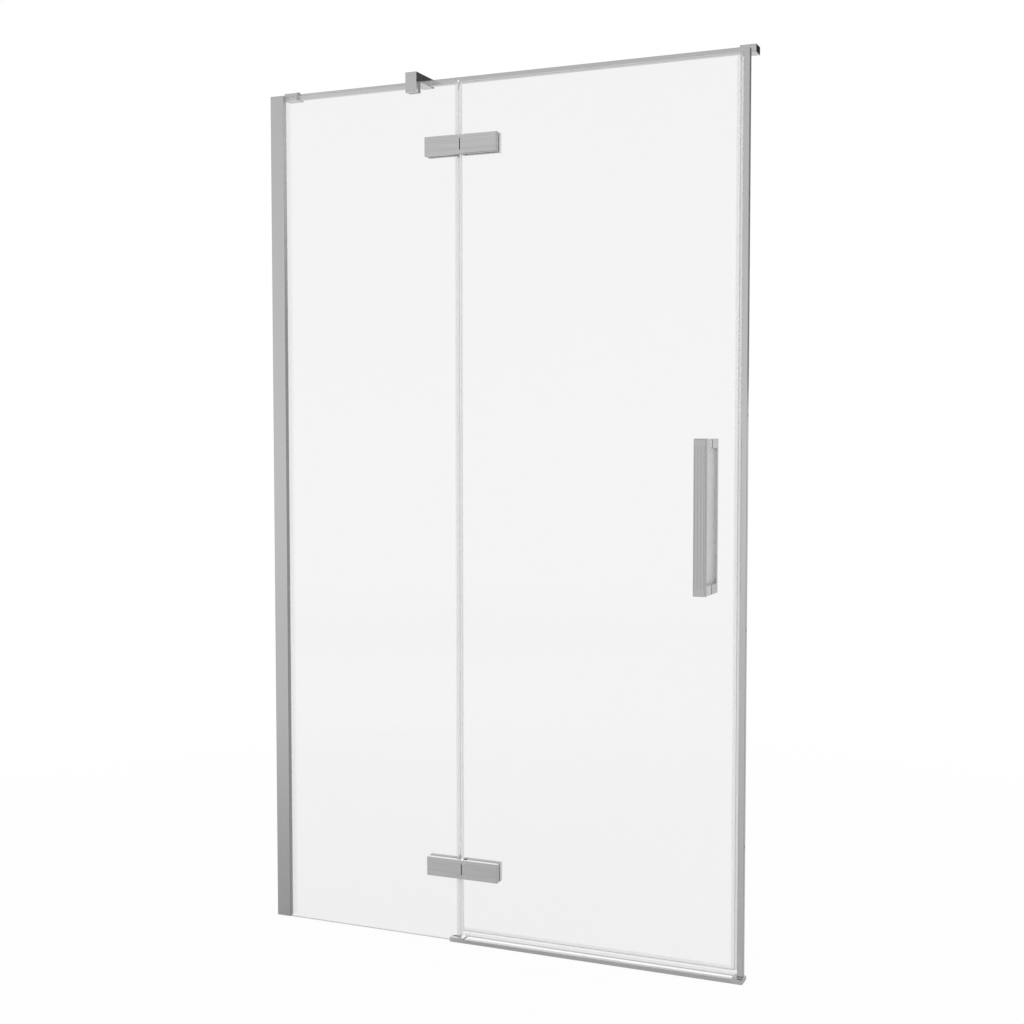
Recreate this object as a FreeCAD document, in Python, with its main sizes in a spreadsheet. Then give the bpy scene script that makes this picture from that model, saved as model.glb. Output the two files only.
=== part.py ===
import FreeCAD, Part
import os
import re
import Sketcher

# Hinged shower door between two walls: a fixed glass pane in a wall post, and a glass door that swings
# outwards on two glass-to-glass hinges. Millimetres. X runs from wall to wall with zero at mid-width, Y is
# zero in the middle of the glass and grows into the shower, Z is zero on the shower tray.

SIZES = [
    ("overall_width", 1170, "wall to wall"),
    ("glass_height", 2000, "top of the fixed pane above the tray"),
    ("glass_thickness", 8, "both panes"),
    ("pane_bevel", 0.6, "ground arris round each pane"),
    ("slip_gap", 0.3, "clearance between parts that slide together"),
    ("press_gap", 0.02, "radial clearance of a pressed pin or bush"),
    ("running_gap", 0.05, "radial clearance of a pin that turns and of screws"),
    ("post_width", 36, "wall post, from the wall"),
    ("back_wing_step", 8, "post's back wing, short of its front wing"),
    ("post_front", 18, "wall post, in front of the glass middle"),
    ("post_back", 14, "wall post, behind the glass middle"),
    ("post_wall", 2, "wall thickness of post and wall channel"),
    ("post_lift", 5, "post and channel above the tray"),
    ("post_round", 2, "rounded long edges of the post"),
    ("post_setback", 1, "post clear of the wall"),
    ("pocket_depth", 18, "glazing pocket of the post"),
    ("lining", 1.5, "glazing gasket wall"),
    ("channel_reach", 20, "wall channel flanges, from the wall"),
    ("cap_thickness", 1.5, "top plate of the post cap"),
    ("cap_plug", 8, "length of the cap's plugs inside the post"),
    ("wall_hole_radius", 3, "wall screw holes of the wall channel"),
    ("wall_hole_outer", 1500, "spread of their outer pair"),
    ("wall_hole_inner", 500, "spread of their inner pair"),
    ("post_screw_radius", 2, "screws that hold the post on its channel"),
    ("post_screw_head", 4, "head radius of those screws"),
    ("post_screw_crown", 2, "head height of those screws"),
    ("post_screw_reach", 11, "those screws, from the wall"),
    ("post_screw_spread", 700, "spacing of those screws up the post"),
    ("hinge_reach", 504.9, "hinge axis, from the left wall"),
    ("fixed_edge_gap", 13.1, "hinge axis to the fixed pane's edge"),
    ("door_edge_reach", 5.5, "door pane's edge beyond the hinge axis"),
    ("closing_gap", 7.6, "door pane's free edge to the strike"),
    ("door_lift", 26.5, "door pane above the tray"),
    ("door_drop", 6, "door pane's top below the fixed pane's top"),
    ("glass_hole_radius", 6, "clamping holes in the glass"),
    ("hinge_drop", 150, "upper hinge centre below the glass top"),
    ("hinge_rise", 175, "lower hinge centre above the tray"),
    ("leaf_height", 44, "hinge plates"),
    ("plate_thickness", 11, "hinge plates"),
    ("plate_chamfer", 0.8, "outer edges of the hinge plates"),
    ("pad_thickness", 1.5, "hinge gaskets between plate and glass"),
    ("pad_inset", 0.3, "hinge gaskets inside the plate outline"),
    ("pad_window", 5, "window of the hinge gaskets, beyond the screws' middles"),
    ("frame_leaf", 92.9, "hinge axis to the far end of the frame plates"),
    ("door_leaf", 87.3, "hinge axis to the far end of the door plates"),
    ("door_back_reach", 6.6, "door's back plates beyond the hinge axis"),
    ("back_gap", 10.7, "gap between the two back plates"),
    ("knuckle_radius", 4.5, "hinge knuckles"),
    ("knuckle_gap", 0.4, "knuckles to the other plate"),
    ("knuckle_length", 26, "middle knuckle with the bush flanges"),
    ("pin_radius", 2, "hinge pins"),
    ("pin_recess", 0.5, "pin ends inside the knuckles"),
    ("bush_wall", 0.7, "hinge bushes"),
    ("bush_length", 9, "hinge bushes inside the middle knuckle"),
    ("bush_flange", 0.8, "thickness of the bush flanges"),
    ("bush_flange_radius", 4.2, "bush flanges"),
    ("hinge_screw_radius", 2.5, "screws through hinge plates and glass"),
    ("hinge_screw_head", 4.5, "their countersunk heads"),
    ("hinge_screw_cone", 2.5, "depth of the countersunk heads"),
    ("hinge_screw_grip", 5.5, "screw length inside the front plate"),
    ("hinge_screw_near", 28, "hinge axis to the nearer screw"),
    ("hinge_screw_far", 66, "hinge axis to the farther screw"),
    ("seal_leg", 8, "seal legs over the glass"),
    ("seal_wall", 1.2, "seal legs and bulbs"),
    ("seal_gap", 0.6, "seal bulbs to what they close on"),
    ("seal_end_gap", 0.5, "ends of the seals"),
    ("drip_base", 2, "drip seal under the glass edge"),
    ("drip_tip", 1.5, "width of the drip lip's tip"),
    ("drip_lean", 3.2, "drip lip's tip behind the glass middle"),
    ("drip_clear", 2.6, "drip lip above the threshold ridge"),
    ("drip_inset", 0.4, "drip seal's end inside the door pane's edge"),
    ("drip_end_gap", 1.5, "drip lip's end to the strike"),
    ("strike_width", 13, "strike profile, from the right wall"),
    ("strike_front", 9, "strike profile, in front of the glass middle"),
    ("strike_back", 6, "strike profile, behind the glass middle"),
    ("strike_wall", 1.6, "wall thickness of strike cover and channel"),
    ("strike_round", 2.4, "rounded front edges of the strike"),
    ("strike_channel_reach", 9, "strike channel flanges, from the wall"),
    ("strike_hole_radius", 2.5, "wall screw holes of the strike channel"),
    ("strike_hole_outer", 1400, "spread of their outer pair"),
    ("strike_hole_inner", 460, "spread of their inner pair"),
    ("strike_lift", 16.5, "strike above the tray"),
    ("foot_thickness", 2, "foot pad under the strike"),
    ("rail_start", 470, "threshold's left end, from the left wall"),
    ("rail_front", 14, "threshold in front of the glass middle"),
    ("rail_back", 22, "threshold behind the glass middle"),
    ("rail_nose", 8.4, "threshold's front height"),
    ("rail_ridge", 9.4, "threshold's highest line"),
    ("rail_ridge_back", 7, "that line behind the glass middle"),
    ("rail_tail", 6.4, "threshold's back height"),
    ("rail_wall", 1.5, "threshold's wall thickness"),
    ("rail_round", 1, "threshold's front edge"),
    ("cap_left_length", 34, "threshold's left end cap"),
    ("cap_right_length", 25, "threshold's right end cap"),
    ("cap_proud", 0.4, "end caps in front of and behind the threshold"),
    ("cap_rise", 2, "end caps above the threshold"),
    ("spigot_length", 10, "end cap spigots inside the threshold"),
    ("bar_side", 14, "square stabiliser bar"),
    ("bar_wall", 1.5, "its wall thickness"),
    ("bar_round", 1, "its long edges"),
    ("bar_back", 63, "bar's middle behind the glass middle"),
    ("bar_rise", 12, "bar's middle above the glass top"),
    ("bracket_length", 36, "wall brackets, from the wall"),
    ("bracket_depth", 34, "wall brackets and clamp, front to back"),
    ("bracket_height", 17, "wall brackets"),
    ("bracket_chamfer", 0.8, "edges of wall brackets and clamp"),
    ("socket_depth", 20, "bar sockets in the wall brackets"),
    ("socket_gap", 0.1, "bar in its sockets, each side"),
    ("bracket_hole_radius", 2.75, "wall screw holes of the brackets"),
    ("knob_radius", 5.5, "head of the bar's clamp screw"),
    ("knob_height", 3.5, "head of the bar's clamp screw"),
    ("knob_shank_radius", 3, "shank of the bar's clamp screw"),
    ("knob_inset", 8, "clamp screw from the bracket's free end"),
    ("set_screw_radius", 2.5, "set screws on the bar"),
    ("clamp_start", 363, "glass clamp's left side, from the left wall"),
    ("clamp_width", 28.6, "glass clamp along the pane"),
    ("clamp_front", 16, "glass clamp in front of the glass middle"),
    ("clamp_drop", 22.3, "front jaw below the glass top"),
    ("clamp_rise", 23.6, "clamp's top above the glass top"),
    ("clamp_bridge", 1, "clamp's bridge above the glass edge"),
    ("clamp_jaw", 3.3, "thickness of the back jaw"),
    ("clamp_arm_rise", 3.5, "underside of the arm above the glass top"),
    ("clamp_pad", 1, "pads between clamp and glass"),
    ("clamp_pad_inset", 0.4, "pads inside the clamp's outline"),
    ("handle_inset", 70.4, "handle's middle from the door pane's free edge"),
    ("handle_middle", 1012.3, "handle's middle above the tray"),
    ("handle_length", 337, "grips"),
    ("handle_width", 27.4, "grips and posts"),
    ("handle_reach", 52, "outer face of the grips from the glass middle"),
    ("grip_thickness", 12, "grips"),
    ("grip_chamfer", 1.2, "edges of the grips"),
    ("groove_count", 4, "grip grooves"),
    ("groove_pitch", 6.8, "spacing of the grip grooves"),
    ("groove_width", 1.4, "grip grooves"),
    ("groove_depth", 1, "grip grooves"),
    ("groove_end", 16, "grip grooves from the grip's ends"),
    ("stand_height", 20.5, "handle posts"),
    ("handle_washer", 1, "washers between handle posts and glass"),
    ("stud_radius", 3, "studs through the glass"),
    ("stud_grip", 16, "stud length inside each handle post"),
]
ALIASES = {alias for alias, number, note in SIZES}

LEFT = "(-overall_width / 2)"
RIGHT = "(overall_width / 2)"
HALF_GLASS = "(glass_thickness / 2)"
POCKET = "(glass_thickness / 2 + lining)"
AXIS_X = f"({LEFT} + hinge_reach)"
PLATE_INNER = "(glass_thickness / 2 + pad_thickness)"
PLATE_OUTER = f"({PLATE_INNER} + plate_thickness)"
AXIS_Y = f"(knuckle_radius - {PLATE_OUTER})"
FIXED_EDGE = f"({AXIS_X} - fixed_edge_gap)"
DOOR_EDGE = f"({AXIS_X} - door_edge_reach)"
STRIKE_FACE = f"({RIGHT} - strike_width)"
FREE_EDGE = f"({STRIKE_FACE} - closing_gap)"
DOOR_TOP = "(glass_height - door_drop)"
KNUCKLE_EDGE = "(knuckle_radius + knuckle_gap)"
END_KNUCKLE = "((leaf_height - knuckle_length) / 2)"
BUSH_FACE = f"({END_KNUCKLE} + running_gap)"
MIDDLE_FACE = f"({BUSH_FACE} + bush_flange)"
BUSH_OUTER = "(pin_radius + running_gap + bush_wall)"
RAIL_TOP = "(rail_ridge + cap_rise)"
BAR_Z = "(glass_height + bar_rise)"
HANDLE_X = f"({FREE_EDGE} - handle_inset)"
HANDLE_Z = "(handle_middle - handle_length / 2)"
HINGES = {"upper": "(glass_height - hinge_drop)", "lower": "hinge_rise"}
TOUCH = 1e-6

doc = FreeCAD.newDocument("HingedShowerDoor")
sheet = doc.addObject("Spreadsheet::Sheet", "Sizes")
nodes = {}


def tied(text):
    """An expression on the sheet's names, with each name led by the sheet's own."""
    return re.sub(r"[a-z_]+", lambda word: f"Sizes.{word[0]}" if word[0] in ALIASES else word[0], text)


def value(text):
    """The number that an expression gives with the present sizes."""
    return float(sheet.evalExpression(tied(text)))


def bind(thing, prop, text):
    """Tie one property to the sheet."""
    thing.setExpression(prop, tied(text))


def place(thing, x="0", y="0", z="0", turn=0):
    """Put a piece at a tied place, turned about the upright by some degrees."""
    upright = FreeCAD.Vector(0, 0, 1)
    thing.Placement = FreeCAD.Placement(FreeCAD.Vector(), FreeCAD.Rotation(upright, turn))
    for axis, text in zip("xyz", (x, y, z)):
        bind(thing, f"Placement.Base.{axis}", text)
    return thing


def node(label, thing):
    """Name a finished sub-part; the name is also its file's."""
    thing.Label = label
    nodes[label] = thing
    return thing


def new_body(name):
    """An empty body."""
    return doc.addObject("PartDesign::Body", name)


def fix_point(sketch, line, spot, corner):
    """Tie one point of a sketch to its distances from the sketch's origin."""
    for kind, axis, text in (("DistanceX", -2, corner[0]), ("DistanceY", -1, corner[1])):
        if text == "0":
            sketch.addConstraint(Sketcher.Constraint("PointOnObject", line, spot, axis))
        else:
            row = sketch.addConstraint(Sketcher.Constraint(kind, -1, 1, line, spot, value(text)))
            bind(sketch, f"Constraints[{row}]", text)


def new_sketch(body, name, role, offset="0"):
    """A sketch on one of the body's own planes, moved along the plane's normal."""
    plane = next(part for part in body.Origin.OriginFeatures if part.Role == role)
    sketch = body.newObject("Sketcher::SketchObject", name)
    sketch.AttachmentSupport = (plane, [""])
    sketch.MapMode = "FlatFace"
    if offset != "0":
        bind(sketch, "AttachmentOffset.Base.z", offset)
    return sketch


def add_outline(sketch, corners):
    """A closed outline of straight lines through tied corners."""
    first = sketch.GeometryCount
    spots = [FreeCAD.Vector(value(across), value(up), 0) for across, up in corners]
    count = len(corners)
    for i in range(count):
        sketch.addGeometry(Part.LineSegment(spots[i], spots[(i + 1) % count]), False)
    for i in range(count):
        after = first + (i + 1) % count
        sketch.addConstraint(Sketcher.Constraint("Coincident", first + i, 2, after, 1))
    for i, corner in enumerate(corners):
        fix_point(sketch, first + i, 1, corner)


def add_circle(sketch, centre, radius):
    """A circle with a tied centre and radius."""
    spot = FreeCAD.Vector(value(centre[0]), value(centre[1]), 0)
    circle = Part.Circle(spot, FreeCAD.Vector(0, 0, 1), value(radius))
    line = sketch.addGeometry(circle, False)
    fix_point(sketch, line, 3, centre)
    row = sketch.addConstraint(Sketcher.Constraint("Radius", line, value(radius)))
    bind(sketch, f"Constraints[{row}]", radius)


def rectangle(across, up):
    """The four corners of a rectangle from its low and high sides."""
    return [(across[0], up[0]), (across[1], up[0]), (across[1], up[1]), (across[0], up[1])]


def pad(body, sketch, length, backwards=False):
    """Raise a sketch into material."""
    feature = body.newObject("PartDesign::Pad", f"{sketch.Name}_pad")
    feature.Profile = sketch
    feature.Reversed = backwards
    bind(feature, "Length", length)
    return feature


def pocket(body, sketch, depth=None, backwards=False, both=False):
    """Cut a sketch out of the body, right through where no depth is given."""
    doc.recompute()
    before = body.Shape.Volume
    feature = body.newObject("PartDesign::Pocket", f"{sketch.Name}_pocket")
    feature.Profile = sketch
    feature.Reversed = backwards
    if depth is None:
        feature.Type = "ThroughAll"
    else:
        bind(feature, "Length", depth)
    if both:
        feature.SideType = "Symmetric"
    doc.recompute()
    if body.Shape.Volume > before - TOUCH:
        raise RuntimeError(f"{feature.Name} cuts nothing")
    return feature


def profile(name, loops, length, role="XY_Plane", backwards=False):
    """A body whose section, with any hollows, runs along one straight length."""
    body = new_body(name)
    sketch = new_sketch(body, f"{name}_section", role)
    for corners in loops:
        add_outline(sketch, corners)
    pad(body, sketch, length, backwards)
    return body


def turned(name, corners, role="XY_Plane"):
    """A body turned from half its section: about Y on the flat plane, about Z on the upright one."""
    body = new_body(name)
    sketch = new_sketch(body, f"{name}_half", role)
    add_outline(sketch, corners)
    feature = body.newObject("PartDesign::Revolution", f"{name}_turn")
    feature.Profile = sketch
    feature.ReferenceAxis = (sketch, ["V_Axis"])
    return body


def ease(body, kind, size, wanted):
    """Fillet or chamfer the body's edges that pass the test."""
    doc.recompute()
    base = body.Tip
    names = [f"Edge{i}" for i, edge in enumerate(base.Shape.Edges, 1) if wanted(edge)]
    feature = body.newObject(f"PartDesign::{kind}", f"{body.Name}_{kind.lower()}")
    feature.Base = (base, names)
    bind(feature, "Radius" if kind == "Fillet" else "Size", size)


def straight(edge):
    """True for a straight edge."""
    return isinstance(edge.Curve, Part.Line)


def lies(edge, **at):
    """True for a straight edge whose ends both have the given coordinates."""
    ends = [vertex.Point for vertex in edge.Vertexes]
    return straight(edge) and all(
        abs(getattr(end, axis) - spot) < TOUCH for end in ends for axis, spot in at.items())


def cut(name, base, tools):
    """A piece less its cutting forms."""
    joined = tools[0]
    if len(tools) > 1:
        joined = doc.addObject("Part::Compound", f"{name}_tools")
        joined.Links = tools
    feature = doc.addObject("Part::Cut", name)
    feature.Base = base
    feature.Tool = joined
    return feature


def group(label, things):
    """One node of several like solids."""
    gathered = doc.addObject("Part::Compound", f"{label}_group")
    gathered.Links = things
    return node(label, gathered)


def rod(name, radius, length, x, y, z):
    """An upright round rod."""
    feature = doc.addObject("Part::Cylinder", name)
    bind(feature, "Radius", radius)
    bind(feature, "Height", length)
    return place(feature, x, y, z)


def make_sheet():
    """Write the driving sizes into the sheet."""
    for row, (alias, number, note) in enumerate(SIZES, 1):
        sheet.set(f"A{row}", alias)
        sheet.set(f"B{row}", str(number))
        sheet.set(f"C{row}", note)
        sheet.setAlias(f"B{row}", alias)
    doc.recompute()


def wall_channel(name, side, reach, low, high, wall, length):
    """A channel screwed to a wall: web on the wall, two flanges away from it, four screw holes."""
    corners = [("0", low), (f"{side} * {reach}", low), (f"{side} * {reach}", f"{low} + {wall}"),
               (f"{side} * {wall}", f"{low} + {wall}"), (f"{side} * {wall}", f"{high} - {wall}"),
               (f"{side} * {reach}", f"{high} - {wall}"), (f"{side} * {reach}", high), ("0", high)]
    return profile(name, [corners], length)


def wall_holes(body, across, owner):
    """Two pairs of screw holes through a channel's web, both about the middle of the glass height."""
    sketch = new_sketch(body, f"{body.Name}_holes", "YZ_Plane")
    lift = {"wall": "post_lift", "strike": "strike_lift"}[owner]
    for pair in ("outer", "inner"):
        for way in ("-", "+"):
            height = f"glass_height / 2 - {lift} {way} {owner}_hole_{pair} / 2"
            add_circle(sketch, (across, height), f"{owner}_hole_radius")
    pocket(body, sketch, both=True)


def make_wall_side():
    """The left wall's channel, the post that slides over it, its gasket, cap and screws."""
    post_length = "glass_height - post_lift - cap_thickness"
    low = "-(post_front - post_wall - slip_gap)"
    high = "(post_back - post_wall - slip_gap)"
    channel = wall_channel("wall_channel_body", "1", "channel_reach", low, high, "post_wall", post_length)
    place(channel, x=LEFT, z="post_lift")
    wall_holes(channel, f"({low} + {high}) / 2", "wall")

    floor = "(post_width - pocket_depth)"
    rib = f"({POCKET} + post_wall)"
    wing = "(post_width - back_wing_step)"
    inner = "(post_width - post_wall)"
    inner_wing = f"({wing} - post_wall)"
    outline = [
        ("post_setback", "-post_front"), ("post_width", "-post_front"), ("post_width", f"-{POCKET}"),
        (floor, f"-{POCKET}"), (floor, POCKET), (wing, POCKET), (wing, "post_back"),
        ("post_setback", "post_back"), ("post_setback", "post_back - post_wall"),
        (inner_wing, "post_back - post_wall"), (inner_wing, rib), (f"{floor} - post_wall", rib),
        (f"{floor} - post_wall", f"-{rib}"), (inner, f"-{rib}"), (inner, "-(post_front - post_wall)"),
        ("post_setback", "-(post_front - post_wall)")]
    post = profile("wall_post_body", [outline], post_length)
    place(post, x=LEFT, z="post_lift")
    corners = [(value("post_width"), value("-post_front")), (value(wing), value("post_back"))]
    ease(post, "Fillet", "post_round", lambda edge: any(lies(edge, x=x, y=y) for x, y in corners))

    head = "post_back"
    tip = "post_back - 2 * post_wall - slip_gap - post_screw_radius"
    screws = []
    drills = []
    for count in (-1, 0, 1):
        height = f"glass_height / 2 + {count} * post_screw_spread"
        shank = [("0", tip), ("post_screw_radius", tip), ("post_screw_radius", head),
                 ("post_screw_head", head), ("post_screw_head", f"{head} + post_screw_crown"),
                 ("0", f"{head} + post_screw_crown")]
        screw = turned(f"post_screw_{count + 1}", shank)
        hole = "post_screw_radius + running_gap"
        drill = turned(f"post_drill_{count + 1}", rectangle(("0", hole), (tip, head)))
        for thing in (screw, drill):
            place(thing, x=f"{LEFT} + post_screw_reach", z=height)
        screws.append(screw)
        drills.append(drill)
    node("wall_channel", cut("wall_channel_drilled", channel, drills))
    node("wall_post", cut("wall_post_drilled", post, drills))
    group("post_screws", screws)

    bottom = f"({floor} + lining)"
    lining = [("post_width", f"-{POCKET}"), ("post_width", f"-{HALF_GLASS}"), (bottom, f"-{HALF_GLASS}"),
              (bottom, HALF_GLASS), (wing, HALF_GLASS), (wing, POCKET), (floor, POCKET),
              (floor, f"-{POCKET}")]
    node("glazing_gasket", place(profile("gasket_body", [lining], post_length), x=LEFT, z="post_lift"))

    notch = f"({HALF_GLASS} + slip_gap)"
    cover = [("post_setback", "-post_front"), ("post_width", "-post_front"), ("post_width", f"-{notch}"),
             (floor, f"-{notch}"), (floor, notch), (wing, notch), (wing, "post_back"),
             ("post_setback", "post_back")]
    cap = profile("post_cap_body", [cover], "cap_thickness")
    plugs = new_sketch(cap, "post_cap_plugs", "XY_Plane")
    front = ("slip_gap + post_wall - post_front", f"-{rib} - slip_gap")
    back = (f"{rib} + slip_gap", "post_back - post_wall - slip_gap")
    for end, depth in ((inner, front), (inner_wing, back)):
        add_outline(plugs, rectangle(("channel_reach + slip_gap", f"{end} - slip_gap"), depth))
    pad(cap, plugs, "cap_plug", backwards=True)
    ease(cap, "Fillet", "post_round", lambda edge: any(lies(edge, x=x, y=y) for x, y in corners))
    node("post_cap", place(cap, x=LEFT, z="glass_height - cap_thickness"))


def pane(label, sides, heights, holes):
    """A toughened glass pane with its clamping holes and ground edges."""
    body = profile(f"{label}_body", [rectangle(sides, (f"-{HALF_GLASS}", HALF_GLASS))],
                   f"{heights[1]} - {heights[0]}")
    sketch = new_sketch(body, f"{label}_holes", "XZ_Plane")
    for across, up in holes:
        add_circle(sketch, (across, f"{up} - {heights[0]}"), "glass_hole_radius")
    pocket(body, sketch, both=True)
    ease(body, "Chamfer", "pane_bevel", straight)
    node(label, place(body, z=heights[0]))


def make_panes():
    """The fixed pane in the post and the swinging pane beside it."""
    fixed_holes = [(f"{AXIS_X} - {reach}", height) for height in HINGES.values()
                   for reach in ("hinge_screw_near", "hinge_screw_far")]
    pocket_floor = f"({LEFT} + post_width - pocket_depth + lining)"
    pane("fixed_pane", (pocket_floor, FIXED_EDGE), ("0", "glass_height"), fixed_holes)
    door_holes = [(f"{AXIS_X} + {reach}", height) for height in HINGES.values()
                  for reach in ("hinge_screw_near", "hinge_screw_far")]
    for way in ("-", "+"):
        height = f"(handle_middle {way} (handle_length - stand_height) / 2)"
        door_holes.append((HANDLE_X, height))
    pane("door_pane", (DOOR_EDGE, FREE_EDGE), ("door_lift", DOOR_TOP), door_holes)


def knuckle(body, name, side, start, length):
    """One knuckle: a round nose about the pin, with an arm to its plate."""
    sketch = new_sketch(body, name, "XY_Plane", start)
    radius = value("knuckle_radius")
    edge = side * value(KNUCKLE_EDGE)
    low = FreeCAD.Vector(0, -radius, 0)
    high = FreeCAD.Vector(0, radius, 0)
    far_low = FreeCAD.Vector(edge, -radius, 0)
    far_high = FreeCAD.Vector(edge, radius, 0)
    nose = FreeCAD.Vector(-side * radius, 0, 0)
    sketch.addGeometry(Part.LineSegment(low, far_low), False)
    sketch.addGeometry(Part.LineSegment(far_low, far_high), False)
    sketch.addGeometry(Part.LineSegment(far_high, high), False)
    arc = sketch.addGeometry(Part.Arc(high, nose, low), False)
    ends = {}
    for spot in (1, 2):
        ends[round(sketch.getPoint(arc, spot).y)] = spot
    low_end = ends[min(ends)]
    high_end = ends[max(ends)]
    for link in ((0, 2, 1, 1), (1, 2, 2, 1), (2, 2, arc, high_end), (0, 1, arc, low_end), (arc, 3, -1, 1)):
        sketch.addConstraint(Sketcher.Constraint("Coincident", *link))
    for line in (0, 2):
        sketch.addConstraint(Sketcher.Constraint("Horizontal", line))
    sketch.addConstraint(Sketcher.Constraint("Vertical", 1))
    for line, spot in ((0, 1), (2, 2)):
        sketch.addConstraint(Sketcher.Constraint("PointOnObject", line, spot, -2))
    row = sketch.addConstraint(Sketcher.Constraint("Radius", arc, radius))
    bind(sketch, f"Constraints[{row}]", "knuckle_radius")
    row = sketch.addConstraint(Sketcher.Constraint("DistanceX", -1, 1, 1, 1, edge))
    bind(sketch, f"Constraints[{row}]", f"{side} * {KNUCKLE_EDGE}")
    pad(body, sketch, length)


def hinge_screw(name, clearance, x, z):
    """A countersunk screw form through back plate and glass into the front plate, head flush at the back."""
    length = f"(plate_thickness + 2 * pad_thickness + glass_thickness + hinge_screw_grip + {clearance})"
    head = f"hinge_screw_head + {clearance}"
    shank = f"hinge_screw_radius + {clearance}"
    form = turned(name, [("0", f"-{length}"), (shank, f"-{length}"), (shank, "-hinge_screw_cone"),
                         (head, "0"), ("0", "0")])
    return place(form, x, PLATE_OUTER, z)


def front_leaf(name, side, leaf, zones, bore):
    """A front plate with its share of the knuckles, bored for pin or bush, with blind screw sockets."""
    body = new_body(name)
    plate = new_sketch(body, f"{name}_plate", "XY_Plane")
    depth = ("-knuckle_radius", "plate_thickness - knuckle_radius")
    add_outline(plate, rectangle((f"{side} * {KNUCKLE_EDGE}", f"{side} * {leaf}"), depth))
    pad(body, plate, "leaf_height")
    for count, (start, length) in enumerate(zones):
        knuckle(body, f"{name}_knuckle_{count}", side, start, length)
    hole = new_sketch(body, f"{name}_bore", "XY_Plane")
    add_circle(hole, ("0", "0"), bore)
    pocket(body, hole, backwards=True)
    sockets = new_sketch(body, f"{name}_sockets", "XZ_Plane")
    for reach in ("hinge_screw_near", "hinge_screw_far"):
        add_circle(sockets, (f"{side} * {reach}", "leaf_height / 2"), "hinge_screw_radius + running_gap")
    pocket(body, sockets)
    front = -value("knuckle_radius")
    rim = [{"z": 0.0}, {"z": value("leaf_height")}, {"x": side * value(leaf)}]
    inner = value(KNUCKLE_EDGE) - TOUCH

    def on_rim(edge):
        outside = all(abs(vertex.X) > inner for vertex in edge.Vertexes)
        return outside and any(lies(edge, y=front, **line) for line in rim)

    ease(body, "Chamfer", "plate_chamfer", on_rim)
    return body


def hinge_pads(name, side, sides):
    """The two gaskets of one leaf, in front of and behind the glass, each with a window for the screws."""
    outline = rectangle(sides, ("pad_inset", "leaf_height - pad_inset"))
    reach = (f"{side} * (hinge_screw_near - pad_window)", f"{side} * (hinge_screw_far + pad_window)")
    window = rectangle(reach, ("leaf_height / 2 - pad_window", "leaf_height / 2 + pad_window"))
    return [profile(f"{name}_{face}", [outline, window], "pad_thickness", "XZ_Plane")
            for face in ("front", "back")]


def make_hinges():
    """Two three-knuckle hinges in the front plates, back plates, gaskets, screws, pins and bushes."""
    leaves = {"frame": (-1, "frame_leaf", "pin_radius + press_gap"),
              "door": (1, "door_leaf", f"{BUSH_OUTER} + press_gap")}
    middle = (MIDDLE_FACE, f"leaf_height - 2 * {MIDDLE_FACE}")
    ends = [("0", END_KNUCKLE), (f"leaf_height - {END_KNUCKLE}", END_KNUCKLE)]
    pads = {"frame": ("pad_inset - frame_leaf", "-fixed_edge_gap - pane_bevel"),
            "door": (KNUCKLE_EDGE, "door_leaf - pad_inset")}
    backs = {"frame": ("-frame_leaf", "-door_back_reach - back_gap"),
             "door": ("-door_back_reach", "door_leaf")}
    gaskets = {"frame": [], "door": []}
    screws = {"frame": [], "door": []}
    pins = []
    bushes = []
    for level, centre in HINGES.items():
        foot = f"({centre} - leaf_height / 2)"
        for owner, (side, leaf, bore) in leaves.items():
            name = f"hinge_{level}_{owner}"
            zones = ends if owner == "frame" else [middle]
            front = front_leaf(f"{name}_front_body", side, leaf, zones, bore)
            node(f"{name}_front", place(front, AXIS_X, AXIS_Y, foot))

            back = profile(f"{name}_back_body", [rectangle(backs[owner], ("-plate_thickness", "0"))],
                           "leaf_height")
            outline = [{"z": 0.0}, {"z": value("leaf_height")}]
            outline += [{"x": value(text)} for text in backs[owner]]
            ease(back, "Chamfer", "plate_chamfer",
                 lambda edge: any(lies(edge, y=0.0, **line) for line in outline))
            place(back, AXIS_X, PLATE_OUTER, foot)
            drills = []
            for reach in ("near", "far"):
                across = f"{AXIS_X} + {side} * hinge_screw_{reach}"
                screws[owner].append(hinge_screw(f"{name}_screw_{reach}", "0", across, centre))
                drills.append(hinge_screw(f"{name}_drill_{reach}", "running_gap", across, centre))
            node(f"{name}_back", cut(f"{name}_back_drilled", back, drills))

            pair = hinge_pads(f"{name}_pad", side, pads[owner])
            for thing, depth in zip(pair, (f"-{HALF_GLASS}", PLATE_INNER)):
                gaskets[owner].append(place(thing, AXIS_X, depth, foot))
        pins.append(rod(f"hinge_{level}_pin", "pin_radius", "leaf_height - 2 * pin_recess",
                        AXIS_X, AXIS_Y, f"{foot} + pin_recess"))
        inner = "pin_radius + running_gap"
        sleeve_end = f"{MIDDLE_FACE} + bush_length"
        low_bush = [(inner, BUSH_FACE), ("bush_flange_radius", BUSH_FACE),
                    ("bush_flange_radius", MIDDLE_FACE), (BUSH_OUTER, MIDDLE_FACE), (BUSH_OUTER, sleeve_end),
                    (inner, sleeve_end)]
        high_bush = [(across, f"leaf_height - ({up})") for across, up in low_bush]
        for end, half in (("low", low_bush), ("high", high_bush)):
            bush = turned(f"hinge_{level}_bush_{end}", half, "XZ_Plane")
            bushes.append(place(bush, AXIS_X, AXIS_Y, foot))
    for owner in leaves:
        group(f"hinge_{owner}_gaskets", gaskets[owner])
        group(f"hinge_{owner}_screws", screws[owner])
    group("hinge_pins", pins)
    group("hinge_bushes", bushes)


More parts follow.
